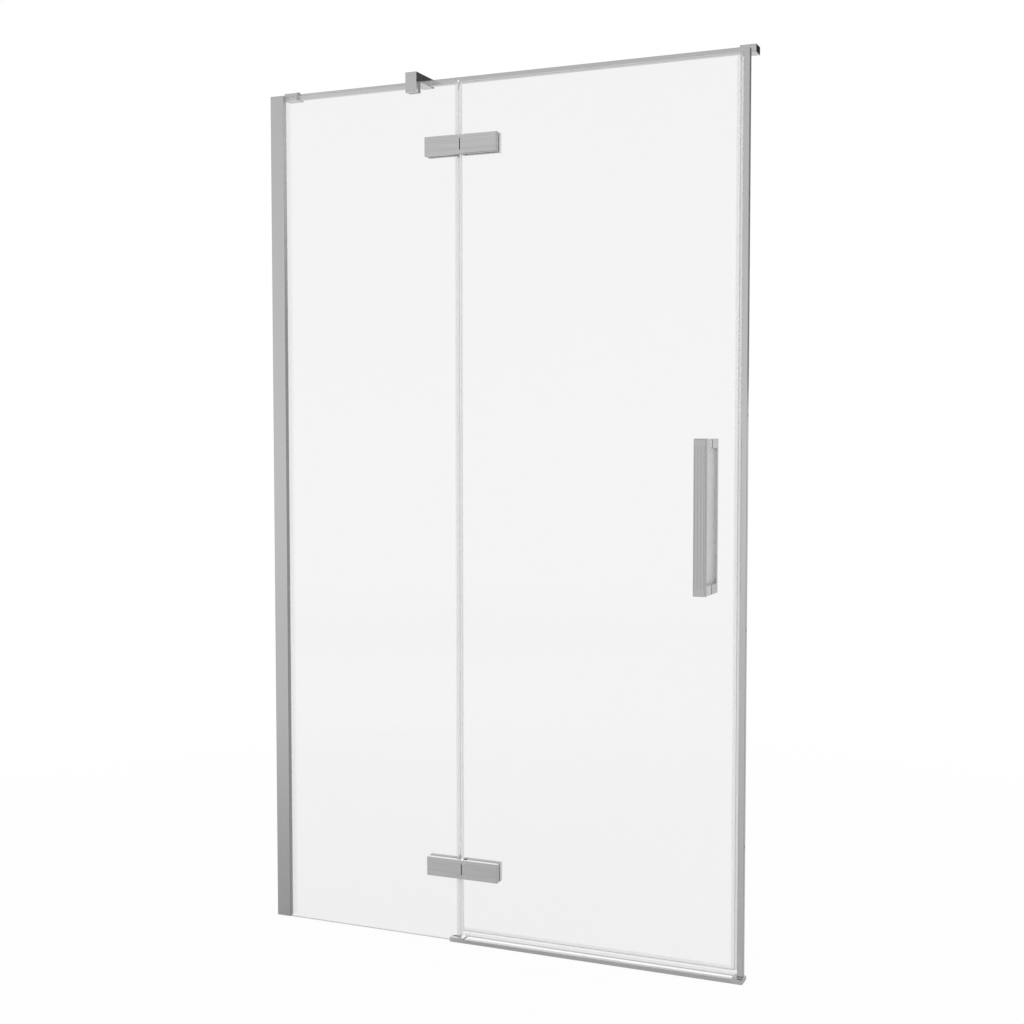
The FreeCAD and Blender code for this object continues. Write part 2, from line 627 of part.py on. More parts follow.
def edge_seal(name, edge, tip, side, length):
    """A clear seal on an upright glass edge: two legs on the glass and a hollow tapered bulb beyond it."""
    legs = f"({HALF_GLASS} + seal_wall)"
    bulb = f"({HALF_GLASS} - seal_wall)"
    back = f"({edge} - {side} * seal_leg)"
    floor = f"({edge} + {side} * seal_wall)"
    outer = [(back, f"-{legs}"), (floor, f"-{legs}"), (tip, f"-{bulb}"), (tip, bulb), (floor, legs),
             (back, legs), (back, HALF_GLASS), (edge, HALF_GLASS), (edge, f"-{HALF_GLASS}"),
             (back, f"-{HALF_GLASS}")]
    hollow_end = f"({tip} - {side} * seal_wall)"
    hollow = [(floor, f"-{bulb}"), (hollow_end, f"-({bulb} - seal_wall)"),
              (hollow_end, f"{bulb} - seal_wall"), (floor, bulb)]
    return profile(name, [outer, hollow], length)


def make_seals():
    """Seam seal on the fixed pane between the hinges, closing seal and drip seal on the door."""
    half_leaf = "leaf_height / 2 + seal_end_gap"
    spans = {
        "lower": (f"{RAIL_TOP} + seal_end_gap", f"{HINGES['lower']} - ({half_leaf})"),
        "middle": (f"{HINGES['lower']} + {half_leaf}", f"{HINGES['upper']} - ({half_leaf})"),
        "upper": (f"{HINGES['upper']} + {half_leaf}", DOOR_TOP)}
    for level, (low, high) in spans.items():
        seam = edge_seal(f"seam_seal_{level}_body", FIXED_EDGE, f"({DOOR_EDGE} - seal_gap)", 1,
                         f"{high} - ({low})")
        node(f"seam_seal_{level}", place(seam, z=low))
    closing = edge_seal("closing_seal_body", FREE_EDGE, f"({STRIKE_FACE} - seal_gap)", 1,
                        f"{DOOR_TOP} - door_lift")
    node("closing_seal", place(closing, z="door_lift"))

    legs = f"({HALF_GLASS} + seal_wall)"
    lip = "(rail_ridge + drip_clear - door_lift)"
    drip = [(f"-{legs}", "seal_leg"), (f"-{legs}", "-drip_base"), ("drip_lean - drip_tip", "-drip_base"),
            ("drip_lean", lip), ("drip_lean + drip_tip", lip), (legs, "-drip_base"), (legs, "seal_leg"),
            (HALF_GLASS, "seal_leg"), (HALF_GLASS, "0"), (f"-{HALF_GLASS}", "0"),
            (f"-{HALF_GLASS}", "seal_leg")]
    start = f"({DOOR_EDGE} + drip_inset)"
    length = f"{FREE_EDGE} - seal_leg - seal_end_gap - {start}"
    body = profile("drip_seal_body", [drip], length, "YZ_Plane")
    tail = new_sketch(body, "drip_seal_tail", "YZ_Plane", length)
    add_outline(tail, [(f"-{legs}", "-seal_end_gap"), *drip[1:6], (legs, "-seal_end_gap")])
    pad(body, tail, f"{STRIKE_FACE} - drip_end_gap - {start} - ({length})")
    node("drip_seal", place(body, x=start, z="door_lift"))


def make_strike():
    """The right wall's channel, the strike cover over it and the pad that it stands on."""
    length = "glass_height - strike_lift"
    low = "-(strike_front - strike_wall - slip_gap)"
    high = "(strike_back - strike_wall - slip_gap)"
    channel = wall_channel("strike_channel_body", "-1", "strike_channel_reach", low, high, "strike_wall",
                           length)
    wall_holes(channel, f"({low} + {high}) / 2", "strike")
    node("strike_channel", place(channel, x=RIGHT, z="strike_lift"))

    depth = ("-strike_front", "strike_back")
    inner = "-(strike_width - strike_wall)"
    outline = [("-slip_gap", depth[0]), ("-strike_width", depth[0]), ("-strike_width", depth[1]),
               ("-slip_gap", depth[1]), ("-slip_gap", "strike_back - strike_wall"),
               (inner, "strike_back - strike_wall"), (inner, "strike_wall - strike_front"),
               ("-slip_gap", "strike_wall - strike_front")]
    cover = profile("strike_cover_body", [outline], length)
    face = value("-strike_width")
    edges = [value(text) for text in depth]
    ease(cover, "Fillet", "strike_round", lambda edge: any(lies(edge, x=face, y=y) for y in edges))
    node("strike_cover", place(cover, x=RIGHT, z="strike_lift"))
    foot = profile("strike_foot_body", [rectangle(("-strike_width", "0"), depth)], "foot_thickness")
    node("strike_foot", place(foot, x=RIGHT, z="strike_lift - foot_thickness"))


def rail_outline(grow, base, rise):
    """The threshold's section, grown at front and back and raised: nose, low ridge, falling back."""
    front = f"-(rail_front + {grow})"
    back = f"(rail_back + {grow})"
    return [(front, base), (back, base), (back, f"rail_tail + {rise}"),
            ("rail_ridge_back", f"rail_ridge + {rise}"), (front, f"rail_nose + {rise}")]


def end_cap(name, side, length):
    """A threshold end cap: a solid end and a spigot that plugs the hollow rail."""
    body = profile(name, [rail_outline("cap_proud", "0", "cap_rise")], length, "YZ_Plane", backwards=side < 0)
    spigot = new_sketch(body, f"{name}_spigot", "YZ_Plane", f"{side} * {length}")
    inside = "(-rail_wall - slip_gap)"
    add_outline(spigot, rail_outline(inside, "rail_wall + slip_gap", inside))
    pad(body, spigot, "spigot_length", backwards=side < 0)
    return body


def make_threshold():
    """The hollow rail under the door and the caps at its two ends."""
    start = f"({LEFT} + rail_start)"
    length = "overall_width - rail_start - cap_left_length - cap_right_length"
    section = [rail_outline("0", "0", "0"), rail_outline("(-rail_wall)", "rail_wall", "(-rail_wall)")]
    rail = profile("threshold_rail_body", section, length, "YZ_Plane")
    front = value("-rail_front")
    ease(rail, "Fillet", "rail_round", lambda edge: lies(edge, y=front, z=value("rail_nose")))
    node("threshold_rail", place(rail, x=f"{start} + cap_left_length"))

    left = end_cap("threshold_cap_left_body", 1, "cap_left_length")
    slot = new_sketch(left, "threshold_cap_slot", "XY_Plane")
    side = f"({HALF_GLASS} + slip_gap)"
    add_outline(slot, rectangle(("0", f"{FIXED_EDGE} + slip_gap - {start}"), (f"-{side}", side)))
    pocket(left, slot, backwards=True)
    node("threshold_cap_left", place(left, x=start))

    right = end_cap("threshold_cap_right_body", -1, "cap_right_length")
    seat = new_sketch(right, "threshold_cap_seat", "XY_Plane")
    add_outline(seat, rectangle(("-strike_width", "0"), ("-strike_front", "strike_back")))
    pad(right, seat, "strike_lift - foot_thickness")
    node("threshold_cap_right", place(right, x=RIGHT))


def wall_bracket(name, side):
    """A block on the wall with a square socket for the bar and a screw hole in the socket's floor."""
    body = new_body(name)
    half_depth = "bracket_depth / 2"
    half_height = "bracket_height / 2"
    block = new_sketch(body, f"{name}_block", "YZ_Plane")
    add_outline(block, rectangle((f"-{half_depth}", half_depth), (f"-{half_height}", half_height)))
    pad(body, block, "bracket_length", backwards=side < 0)
    socket = new_sketch(body, f"{name}_socket", "YZ_Plane", f"{side} * bracket_length")
    half = "(bar_side / 2 + socket_gap)"
    add_outline(socket, rectangle((f"-{half}", half), (f"-{half}", half)))
    pocket(body, socket, "socket_depth", backwards=side < 0)
    hole = new_sketch(body, f"{name}_hole", "YZ_Plane")
    add_circle(hole, ("0", "0"), "bracket_hole_radius")
    pocket(body, hole, backwards=side > 0)
    across = [value(half_depth), -value(half_depth)]
    up = [value(half_height), -value(half_height)]
    ease(body, "Chamfer", "bracket_chamfer",
         lambda edge: any(lies(edge, y=y, z=z) for y in across for z in up))
    return place(body, LEFT if side > 0 else RIGHT, "bar_back", BAR_Z)


def make_stabiliser():
    """The square bar behind the glass top, its wall brackets and the clamp that ties it to the fixed pane."""
    half = "(bar_side / 2)"
    bore = f"({half} - bar_wall)"
    section = [rectangle((f"-{size}", size), (f"-{size}", size)) for size in (half, bore)]
    inset = "(bracket_length - socket_depth + slip_gap)"
    bar = profile("stabiliser_bar_body", section, f"overall_width - 2 * {inset}", "YZ_Plane")
    corner = value(half)
    ease(bar, "Fillet", "bar_round", lambda edge: any(
        lies(edge, y=y, z=z) for y in (-corner, corner) for z in (-corner, corner)))
    node("stabiliser_bar", place(bar, f"{LEFT} + {inset}", "bar_back", BAR_Z))

    knob_foot = half
    knob_seat = "bracket_height / 2"
    knob = turned("bar_clamp_screw_body", [
        ("0", knob_foot), ("knob_shank_radius", knob_foot), ("knob_shank_radius", knob_seat),
        ("knob_radius", knob_seat), ("knob_radius", f"{knob_seat} + knob_height"),
        ("0", f"{knob_seat} + knob_height")], "XZ_Plane")
    knob_place = (f"{LEFT} + bracket_length - knob_inset", "bar_back", BAR_Z)
    node("bar_clamp_screw", place(knob, *knob_place))
    drill = turned("bar_clamp_drill", rectangle(
        ("0", "knob_shank_radius + running_gap"), (knob_foot, knob_seat)), "XZ_Plane")
    place(drill, *knob_place)
    node("bar_bracket_left", cut("bar_bracket_left_drilled", wall_bracket("bracket_left_body", 1), [drill]))

    set_tip = half
    set_seat = "bracket_depth / 2"
    places = {"right": f"{RIGHT} - knob_inset", "clamp": f"{LEFT} + clamp_start + clamp_width / 2"}
    screws = {}
    drills = {}
    for name, across in places.items():
        screws[name] = turned(f"set_screw_{name}", rectangle(("0", "set_screw_radius"), (set_tip, set_seat)))
        drills[name] = turned(f"set_drill_{name}", rectangle(
            ("0", "set_screw_radius + running_gap"), (set_tip, set_seat)))
        for thing in (screws[name], drills[name]):
            place(thing, across, "bar_back", BAR_Z)
    group("bar_set_screws", list(screws.values()))
    right = cut("bar_bracket_right_drilled", wall_bracket("bracket_right_body", -1), [drills["right"]])
    node("bar_bracket_right", right)

    jaw = "(glass_thickness / 2 + clamp_pad)"
    jaw_foot = "-(clamp_drop - clamp_pad_inset)"
    back = "(bar_back + bracket_depth / 2)"
    outline = [("-clamp_front", "-clamp_drop"), (f"-{jaw}", "-clamp_drop"), (f"-{jaw}", "clamp_bridge"),
               (jaw, "clamp_bridge"), (jaw, jaw_foot), (f"{jaw} + clamp_jaw", jaw_foot),
               (f"{jaw} + clamp_jaw", "clamp_arm_rise"), (back, "clamp_arm_rise"), (back, "clamp_rise"),
               ("-clamp_front", "clamp_rise")]
    way = f"({half} + socket_gap)"
    bar_way = rectangle((f"bar_back - {way}", f"bar_back + {way}"),
                        (f"bar_rise - {way}", f"bar_rise + {way}"))
    clamp = profile("glass_clamp_body", [outline, bar_way], "clamp_width", "YZ_Plane")
    front = -value("clamp_front")
    sides = [0.0, value("clamp_width")]
    ends = [-value("clamp_drop"), value("clamp_rise")]
    ease(clamp, "Chamfer", "bracket_chamfer", lambda edge: any(lies(edge, y=front, x=x) for x in sides)
         or any(lies(edge, y=front, z=z) for z in ends))
    place(clamp, f"{LEFT} + clamp_start", z="glass_height")
    node("glass_clamp", cut("glass_clamp_drilled", clamp, [drills["clamp"]]))
    pads = []
    for name, depth, foot in (("front", f"-{HALF_GLASS}", "clamp_drop"), ("back", jaw, f"-({jaw_foot})")):
        outline = rectangle(("clamp_pad_inset", "clamp_width - clamp_pad_inset"),
                            (f"clamp_pad_inset - {foot}", "-pane_bevel"))
        thing = profile(f"clamp_pad_{name}", [outline], "clamp_pad", "XZ_Plane")
        pads.append(place(thing, f"{LEFT} + clamp_start", depth, "glass_height"))
    group("clamp_pads", pads)


def grip(name):
    """A flat bar grip with upright grooves in its outer face, which lies at the body's own zero depth."""
    half = "(handle_width / 2)"
    face = rectangle((f"-{half}", half), ("0", "handle_length"))
    body = profile(name, [face], "grip_thickness", "XZ_Plane", backwards=True)
    groove = new_sketch(body, f"{name}_groove", "XZ_Plane")
    first = "((groove_count - 1) * groove_pitch / 2)"
    sides = (f"-{first} - groove_width / 2", f"-{first} + groove_width / 2")
    add_outline(groove, rectangle(sides, ("groove_end", "handle_length - groove_end")))
    channel = pocket(body, groove, "groove_depth")
    row = body.newObject("PartDesign::LinearPattern", f"{name}_grooves")
    row.Originals = [channel]
    row.Direction = (groove, ["H_Axis"])
    bind(row, "Length", "(groove_count - 1) * groove_pitch")
    bind(row, "Occurrences", "groove_count")
    body.Tip = row
    rim = [{"z": 0.0}, {"z": value("handle_length")}, {"x": value(half)}, {"x": -value(half)}]
    ease(body, "Chamfer", "grip_chamfer", lambda edge: any(lies(edge, y=0.0, **line) for line in rim))
    return body


def make_handle():
    """Back-to-back pull handles: grips, square posts, washers and the studs through the glass."""
    half = "(handle_width / 2)"
    seat = "(glass_thickness / 2 + handle_washer)"
    post_depth = f"handle_reach - grip_thickness - {seat}"
    feet = {"low": HANDLE_Z, "high": f"({HANDLE_Z} + handle_length - stand_height)"}
    block = rectangle((f"-{half}", half), ("0", "stand_height"))
    middle = ("0", "stand_height / 2")
    way = "(stud_radius + running_gap)"
    window = rectangle((f"-{way}", way), (f"stand_height / 2 - {way}", f"stand_height / 2 + {way}"))
    washers = []
    for owner, side, turn in (("outer", "-1", 0), ("inner", "1", 180)):
        bar = grip(f"handle_{owner}_grip_body")
        node(f"handle_{owner}_grip", place(bar, HANDLE_X, f"{side} * handle_reach", HANDLE_Z, turn))
        posts = []
        for end, foot in feet.items():
            name = f"handle_{owner}_{end}"
            post = profile(f"{name}_post", [block], post_depth, "XZ_Plane")
            bore = new_sketch(post, f"{name}_bore", "XZ_Plane")
            add_circle(bore, middle, way)
            pocket(post, bore, "stud_grip + running_gap", backwards=True)
            posts.append(place(post, HANDLE_X, f"{side} * {seat}", foot, turn))
            washer = profile(f"{name}_washer", [block, window], "handle_washer", "XZ_Plane")
            washers.append(place(washer, HANDLE_X, f"{side} * {HALF_GLASS}", foot, turn))
        group(f"handle_{owner}_posts", posts)
    group("handle_washers", washers)
    reach = f"({seat} + stud_grip)"
    studs = []
    for end, foot in feet.items():
        stud = turned(f"handle_{end}_stud", rectangle(("0", "stud_radius"), (f"-{reach}", reach)))
        studs.append(place(stud, HANDLE_X, z=f"{foot} + stand_height / 2"))
    group("handle_studs", studs)


def write_parts():
    """Check every object and sub-part, then write one file for each sub-part."""
    doc.recompute()
    faults = [thing.Name for thing in doc.Objects if {"Invalid", "Error"} & set(thing.State)]
    faults += [label for label, thing in nodes.items() if thing.Shape.isNull() or not thing.Shape.isValid()]
    if faults:
        raise RuntimeError(f"faulty: {', '.join(faults)}")
    os.makedirs("parts", exist_ok=True)
    for label, thing in nodes.items():
        thing.Shape.exportStep(f"parts/{label}.step")
    print(f"{len(nodes)} sub-parts, {sum(len(thing.Shape.Solids) for thing in nodes.values())} solids")


make_sheet()
make_wall_side()
make_panes()
make_hinges()
make_seals()
make_strike()
make_threshold()
make_stabiliser()
make_handle()
write_parts()
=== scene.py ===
"""Looks of a hinged shower door: a fixed pane in a wall post and a glass door on two glass-to-glass hinges.

Metres, apart from the classes that say millimetres. X runs from wall to wall with zero at mid-width, Y is
zero in the middle of the glass and grows into the shower, Z is zero on the shower tray.
"""

import logging
import math
from dataclasses import dataclass, replace
from enum import Enum
from typing import Union

import bmesh
import bpy
import numpy as np
from mathutils import Matrix, Vector


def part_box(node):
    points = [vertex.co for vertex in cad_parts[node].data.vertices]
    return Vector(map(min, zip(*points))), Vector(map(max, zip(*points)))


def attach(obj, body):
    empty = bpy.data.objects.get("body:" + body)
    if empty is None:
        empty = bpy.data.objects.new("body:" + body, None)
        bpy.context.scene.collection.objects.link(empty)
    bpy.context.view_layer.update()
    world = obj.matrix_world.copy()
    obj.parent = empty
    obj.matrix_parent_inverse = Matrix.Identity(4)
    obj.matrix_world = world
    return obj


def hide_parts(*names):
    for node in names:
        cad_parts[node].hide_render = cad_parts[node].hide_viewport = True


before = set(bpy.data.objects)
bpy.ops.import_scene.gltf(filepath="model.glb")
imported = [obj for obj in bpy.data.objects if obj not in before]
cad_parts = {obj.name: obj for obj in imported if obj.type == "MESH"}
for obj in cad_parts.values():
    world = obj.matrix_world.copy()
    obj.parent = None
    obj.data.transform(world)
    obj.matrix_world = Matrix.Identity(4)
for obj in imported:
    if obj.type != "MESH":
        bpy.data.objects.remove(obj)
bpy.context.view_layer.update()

LOG = logging.getLogger("shower_door")
MM = 0.001
MERGE_DISTANCE = 1e-7
CREASE_DEGREES = 34.0
BULGE_POWER = 2 / 2.7
BULGE_STEPS = 12
NOISE_ROUGHNESS = 0.55
FACING_LIMIT = 0.7

Colour = tuple[float, float, float]
Point = tuple[float, float, float]
Socket = bpy.types.NodeSocket
Input = Union[float, tuple, "Channel", Socket]

OPAQUE_WHITE = (1.0, 1.0, 1.0, 1.0)
ORIGIN: Point = (0.0, 0.0, 0.0)
MIRROR_FIRST = np.array((-1.0, 1.0))
MIRROR_SECOND = np.array((1.0, -1.0))


class Body(Enum):
    """The two moving groups of the part."""

    FRAME = "frame"
    DOOR = "door"


class Grain(Enum):
    """Direction of the brushing: the pattern's repeats along X, Y and Z, as a share of its fineness."""

    UPRIGHT = (1.0, 1.0, 0.012)
    LEVEL = (0.02, 1.0, 1.0)
    ROUND = (1.0, 1.0, 1.0)


class Run(Enum):
    """Which way a section is carried: upward from (X, Y), or along X from (Y, Z)."""

    UPRIGHT = 0
    LEVEL = 1


class Axis(Enum):
    """Which way a screw points out of the part: how far its values are rolled from (X, Y, Z)."""

    UP = 0
    INWARD = -1


class Facing(Enum):
    """Which way a face looks: an axis, and the sign of the face's normal along it."""

    LEFT = ("X", -1.0)
    RIGHT = ("X", 1.0)
    FRONT = ("Y", -1.0)
    UNDER = ("Z", -1.0)
    TOP = ("Z", 1.0)


class Along(Enum):
    """Which way a facet's tone fades in."""

    WIDTH = "X"
    HEIGHT = "Z"


class Detail(Enum):
    """Octaves of a noise."""

    SOFT = 2.0
    FINE = 3.0
    RICH = 4.0


class Channel:
    """One value socket of a node tree that can be used in plain arithmetic."""

    def __init__(self, graph: "Graph", socket: Socket) -> None:
        """Keep the socket, an output with one number, and the graph that new nodes go into."""
        self.graph = graph
        self.socket = socket

    def _math(self, operation: str, first: Input, second: Input = 0.0) -> "Channel":
        """The result of one new Math node, from an operation and two values or links."""
        made = self.graph.add("ShaderNodeMath", {"operation": operation}, {0: first, 1: second})
        return Channel(self.graph, made.outputs[0])

    def __add__(self, other: Input) -> "Channel":
        """This plus the other."""
        return self._math("ADD", self, other)

    def __radd__(self, other: Input) -> "Channel":
        """The other plus this."""
        return self._math("ADD", other, self)

    def __sub__(self, other: Input) -> "Channel":
        """This less the other."""
        return self._math("SUBTRACT", self, other)

    def __rsub__(self, other: Input) -> "Channel":
        """The other less this."""
        return self._math("SUBTRACT", other, self)

    def __mul__(self, other: Input) -> "Channel":
        """This times the other."""
        return self._math("MULTIPLY", self, other)

    def __rmul__(self, other: Input) -> "Channel":
        """The other times this."""
        return self._math("MULTIPLY", other, self)

    def __truediv__(self, other: Input) -> "Channel":
        """This over the other."""
        return self._math("DIVIDE", self, other)

    def __pow__(self, other: Input) -> "Channel":
        """This to the power of the other."""
        return self._math("POWER", self, other)

    def __abs__(self) -> "Channel":
        """This without its sign."""
        return self._math("ABSOLUTE", self)

    def above(self, limit: float) -> "Channel":
        """One where this is above the limit, otherwise zero."""
        return self._math("GREATER_THAN", self, limit)

    def most(self, other: Input) -> "Channel":
        """The larger of this and the other."""
        return self._math("MAXIMUM", self, other)

    def least(self, other: Input) -> "Channel":
        """The smaller of this and the other."""
        return self._math("MINIMUM", self, other)

    def swing(self, width: float) -> "Channel":
        """This, which runs from zero to one, as a swing of the given width about zero."""
        return (self - 0.5) * width


class Graph:
    """A node tree that is filled from scratch."""

    def __init__(self, tree: bpy.types.NodeTree) -> None:
        """Keep and empty the tree of a material or a world."""
        self.tree = tree
        self.tree.nodes.clear()

    def add(self, kind: str, settings: dict | None = None, inputs: dict | None = None) -> bpy.types.Node:
        """Add one node.

        Args:
            kind: The node's type name.
            settings: Properties of the node, set first.
            inputs: Values or links by socket name or number.

        Returns:
            The new node.
        """
        made = self.tree.nodes.new(kind)
        for key, setting in (settings or {}).items():
            setattr(made, key, setting)
        for key, given in (inputs or {}).items():
            source = given.socket if isinstance(given, Channel) else given
            if isinstance(source, Socket):
                self.tree.links.new(source, made.inputs[key])
            else:
                made.inputs[key].default_value = source
        return made

    def number(self, kind: str, settings: dict | None = None, inputs: dict | None = None,
               output: int | str = 0) -> Channel:
        """Add one node and take one of its outputs, by name or number, for use in arithmetic."""
        return Channel(self, self.add(kind, settings, inputs).outputs[output])

    def axis(self, kind: str, name: str) -> Channel:
        """One axis of a coordinate: of a piece's own place, "Object", of its "Normal" or of a direction."""
        coords = self.add("ShaderNodeTexCoord").outputs[kind]
        return self.number("ShaderNodeSeparateXYZ", None, {0: coords}, name)

    def ray(self, kind: str) -> Channel:
        """One for the rays of a kind, such as "Camera" or "Glossy", otherwise zero."""
        return self.number("ShaderNodeLightPath", output=f"Is {kind} Ray")

    def direct(self) -> Channel:
        """One for rays that come from the camera or through glass, otherwise zero."""
        return self.ray("Camera").most(self.ray("Transmission"))

    def noise(self, scale: float | Point, detail: Detail = Detail.SOFT, shift: Point = ORIGIN) -> Channel:
        """Cloudy values from zero to one on the piece's own coordinates.

        Args:
            scale: Repeats per metre, the same all round or along X, Y and Z.
            detail: Octaves of the noise.
            shift: Moves the pattern, in repeats.

        Returns:
            The noise.
        """
        repeats = scale if isinstance(scale, tuple) else (scale, scale, scale)
        coords = self.add("ShaderNodeTexCoord").outputs["Object"]
        place = self.add("ShaderNodeMapping", None, {"Vector": coords, "Location": shift, "Scale": repeats})
        return self.number("ShaderNodeTexNoise", {"noise_dimensions": "3D"}, {
            "Vector": place.outputs[0], "Scale": 1.0, "Detail": detail.value, "Roughness": NOISE_ROUGHNESS})

    def blend(self, share: Input, low: Input, high: Input) -> Socket:
        """A colour between two: a share of zero gives the first one and a share of one the second."""
        first, last = ((*end, 1.0) if isinstance(end, tuple) else end for end in (low, high))
        return self.add("ShaderNodeMix", {"data_type": "RGBA"}, {0: share, 6: first, 7: last}).outputs[2]

    def vary(self, share: Input, tone: Colour, amount: float) -> Socket:
        """A tone that goes from darker to lighter by an amount, as the share goes from zero to one."""
        return self.blend(share, shade(tone, 1 - amount), shade(tone, 1 + amount))

    def relief(self, height: Channel, depth: float, strength: float) -> Socket:
        """A normal that follows a height; its depth is in metres, and the strength is how much shows."""
        return self.add("ShaderNodeBump", None, {
            "Height": height, "Distance": depth, "Strength": strength}).outputs[0]

    def mix(self, share: Input, first: Socket, second: Socket) -> Socket:
        """A shader between two: a share of zero gives the first one and a share of one the second."""
        return self.add("ShaderNodeMixShader", None, {0: share, 1: first, 2: second}).outputs[0]

    def end(self, shader: Socket) -> None:
        """Lead a shader to the material's output."""
        self.add("ShaderNodeOutputMaterial", None, {"Surface": shader})


def grey(level: float) -> Colour:
    """An even grey of the given level."""
    return (level, level, level)


def shade(tone: Colour, factor: float) -> Colour:
    """A tone made lighter or darker by a factor, at most white."""
    return tuple(min(1.0, part * factor) for part in tone)


def new_material(name: str) -> tuple[bpy.types.Material, Graph]:
    """Make an empty material.

    Args:
        name: The material's name.

    Returns:
        The material and its graph.
    """
    material = bpy.data.materials.new(name)
    material.use_nodes = True
    return material, Graph(material.node_tree)


@dataclass(frozen=True)
class Finish:
    """What all finishes share: a name and a slot."""

    name: str
    slot: str

    def sockets(self, graph: Graph) -> dict:
        """The values and links of the surface shader, by socket name."""
        raise NotImplementedError

    def surface(self, graph: Graph) -> Socket:
        """The shader that the material ends in: one Principled shader with the finish's values."""
        return graph.add("ShaderNodeBsdfPrincipled", None, self.sockets(graph)).outputs[0]

    def make(self) -> bpy.types.Material:
        """Make the finish's material once.

        Returns:
            The material, new or made before.
        """
        known = bpy.data.materials.get(self.name)
        if known is not None:
            return known
        material, graph = new_material(self.name)
        graph.end(self.surface(graph))
        return material


@dataclass(frozen=True)
class PaintedFacet:
    """Faces of a brushed piece that look one way, painted lighter or darker: painted light and painted
    shade.

    They may be limited to those in front of a place along Y, and to those past a start along X or Z, where
    the tone fades in over some length, or before the start if that length is negative. The defaults lie
    outside the part and limit nothing.
    """

    facing: Facing
    factor: float
    front_of: float = 1.0
    start: float = -1.0
    fade: float = 0.0005
    along: Along = Along.WIDTH

    def mask(self, graph: Graph) -> Channel:
        """One on these faces, otherwise zero.

        Args:
            graph: The material's graph.

        Returns:
            The mask.
        """
        # painted light and painted shade: faces that look one way get their own lighter or darker tone
        axis, sign = self.facing.value
        looks = (graph.axis("Normal", axis) * sign).above(FACING_LIMIT)
        share = ((graph.axis("Object", self.along.value) - self.start) / self.fade).most(0.0).least(1.0)
        return looks * share * (1 - graph.axis("Object", "Y").above(self.front_of))


@dataclass(frozen=True)
class BrushedMetal(Finish):
    """Satin metal with fine brushing: streaks in tone, gloss and height along one direction.

    The weights are those of fine, broad and cloudy noise in the tone, and of the first two in the height.
    """

    tone: Colour
    gloss: float
    grain: Grain = Grain.UPRIGHT
    fineness: float = 420.0
    contrast: float = 0.05
    relief: float = 0.12
    broad_share: float = 0.16
    # painted light and painted shade: faces that look one way take a lighter or darker tone
    painted_facets: tuple[PaintedFacet, ...] = ()
    broad_shift: Point = (3.1, 1.7, 0.4)
    cloud_scale: float = 7.0
    tone_weights: tuple[float, float, float] = (0.45, 0.4, 0.15)
    height_weights: tuple[float, float] = (0.7, 0.3)
    fine_gloss: float = 0.16
    cloud_gloss: float = 0.06
    groove_depth: float = 0.00012

    def sockets(self, graph: Graph) -> dict:
        """Fine and broad streaks: noise stretched along the grain, and the painted light and painted shade
        of the facets.

        Args:
            graph: The material's graph.

        Returns:
            The shader's values and links.
        """
        repeats = tuple(self.fineness * share for share in self.grain.value)
        fine = graph.noise(repeats, Detail.RICH)
        broad = graph.noise(tuple(self.broad_share * count for count in repeats), shift=self.broad_shift)
        cloud = graph.noise(self.cloud_scale)
        weights = self.tone_weights
        streak = weights[0] * fine + weights[1] * broad + weights[2] * cloud
        tone = graph.vary(streak, self.tone, self.contrast)
        # painted light and painted shade: each facet's faces take a lighter or darker copy of the tone
        for facet in self.painted_facets:
            tone = graph.blend(facet.mask(graph), tone, shade(self.tone, facet.factor))
        height = self.height_weights[0] * fine + self.height_weights[1] * broad
        return {"Base Color": tone, "Metallic": 1.0,
                "Roughness": self.gloss + fine.swing(self.fine_gloss) + cloud.swing(self.cloud_gloss),
                "Normal": graph.relief(height, self.groove_depth, self.relief)}


@dataclass(frozen=True)
class TurnedMetal(Finish):
    """Machined fastener metal with fine tool marks and a slightly uneven sheen."""

    tone: Colour = (0.45, 0.45, 0.46)
    gloss: float = 0.28
    metallic: float = 1.0
    mark_scale: float = 900.0
    mark_gloss: float = 0.2
    mark_depth: float = 0.00008
    mark_relief: float = 0.25
    sheen_scale: float = 160.0
    sheen_low: float = 0.86
    sheen_high: float = 1.12

    def sockets(self, graph: Graph) -> dict:
        """Tool marks as small noise, sheen as larger noise.

        Args:
            graph: The material's graph.

        Returns:
            The shader's values and links.
        """
        marks = graph.noise(self.mark_scale, Detail.FINE)
        sheen = graph.noise(self.sheen_scale)
        tone = graph.blend(sheen, shade(self.tone, self.sheen_low), shade(self.tone, self.sheen_high))
        return {"Base Color": tone, "Metallic": self.metallic,
                "Roughness": self.gloss + marks.swing(self.mark_gloss),
                "Normal": graph.relief(marks, self.mark_depth, self.mark_relief)}


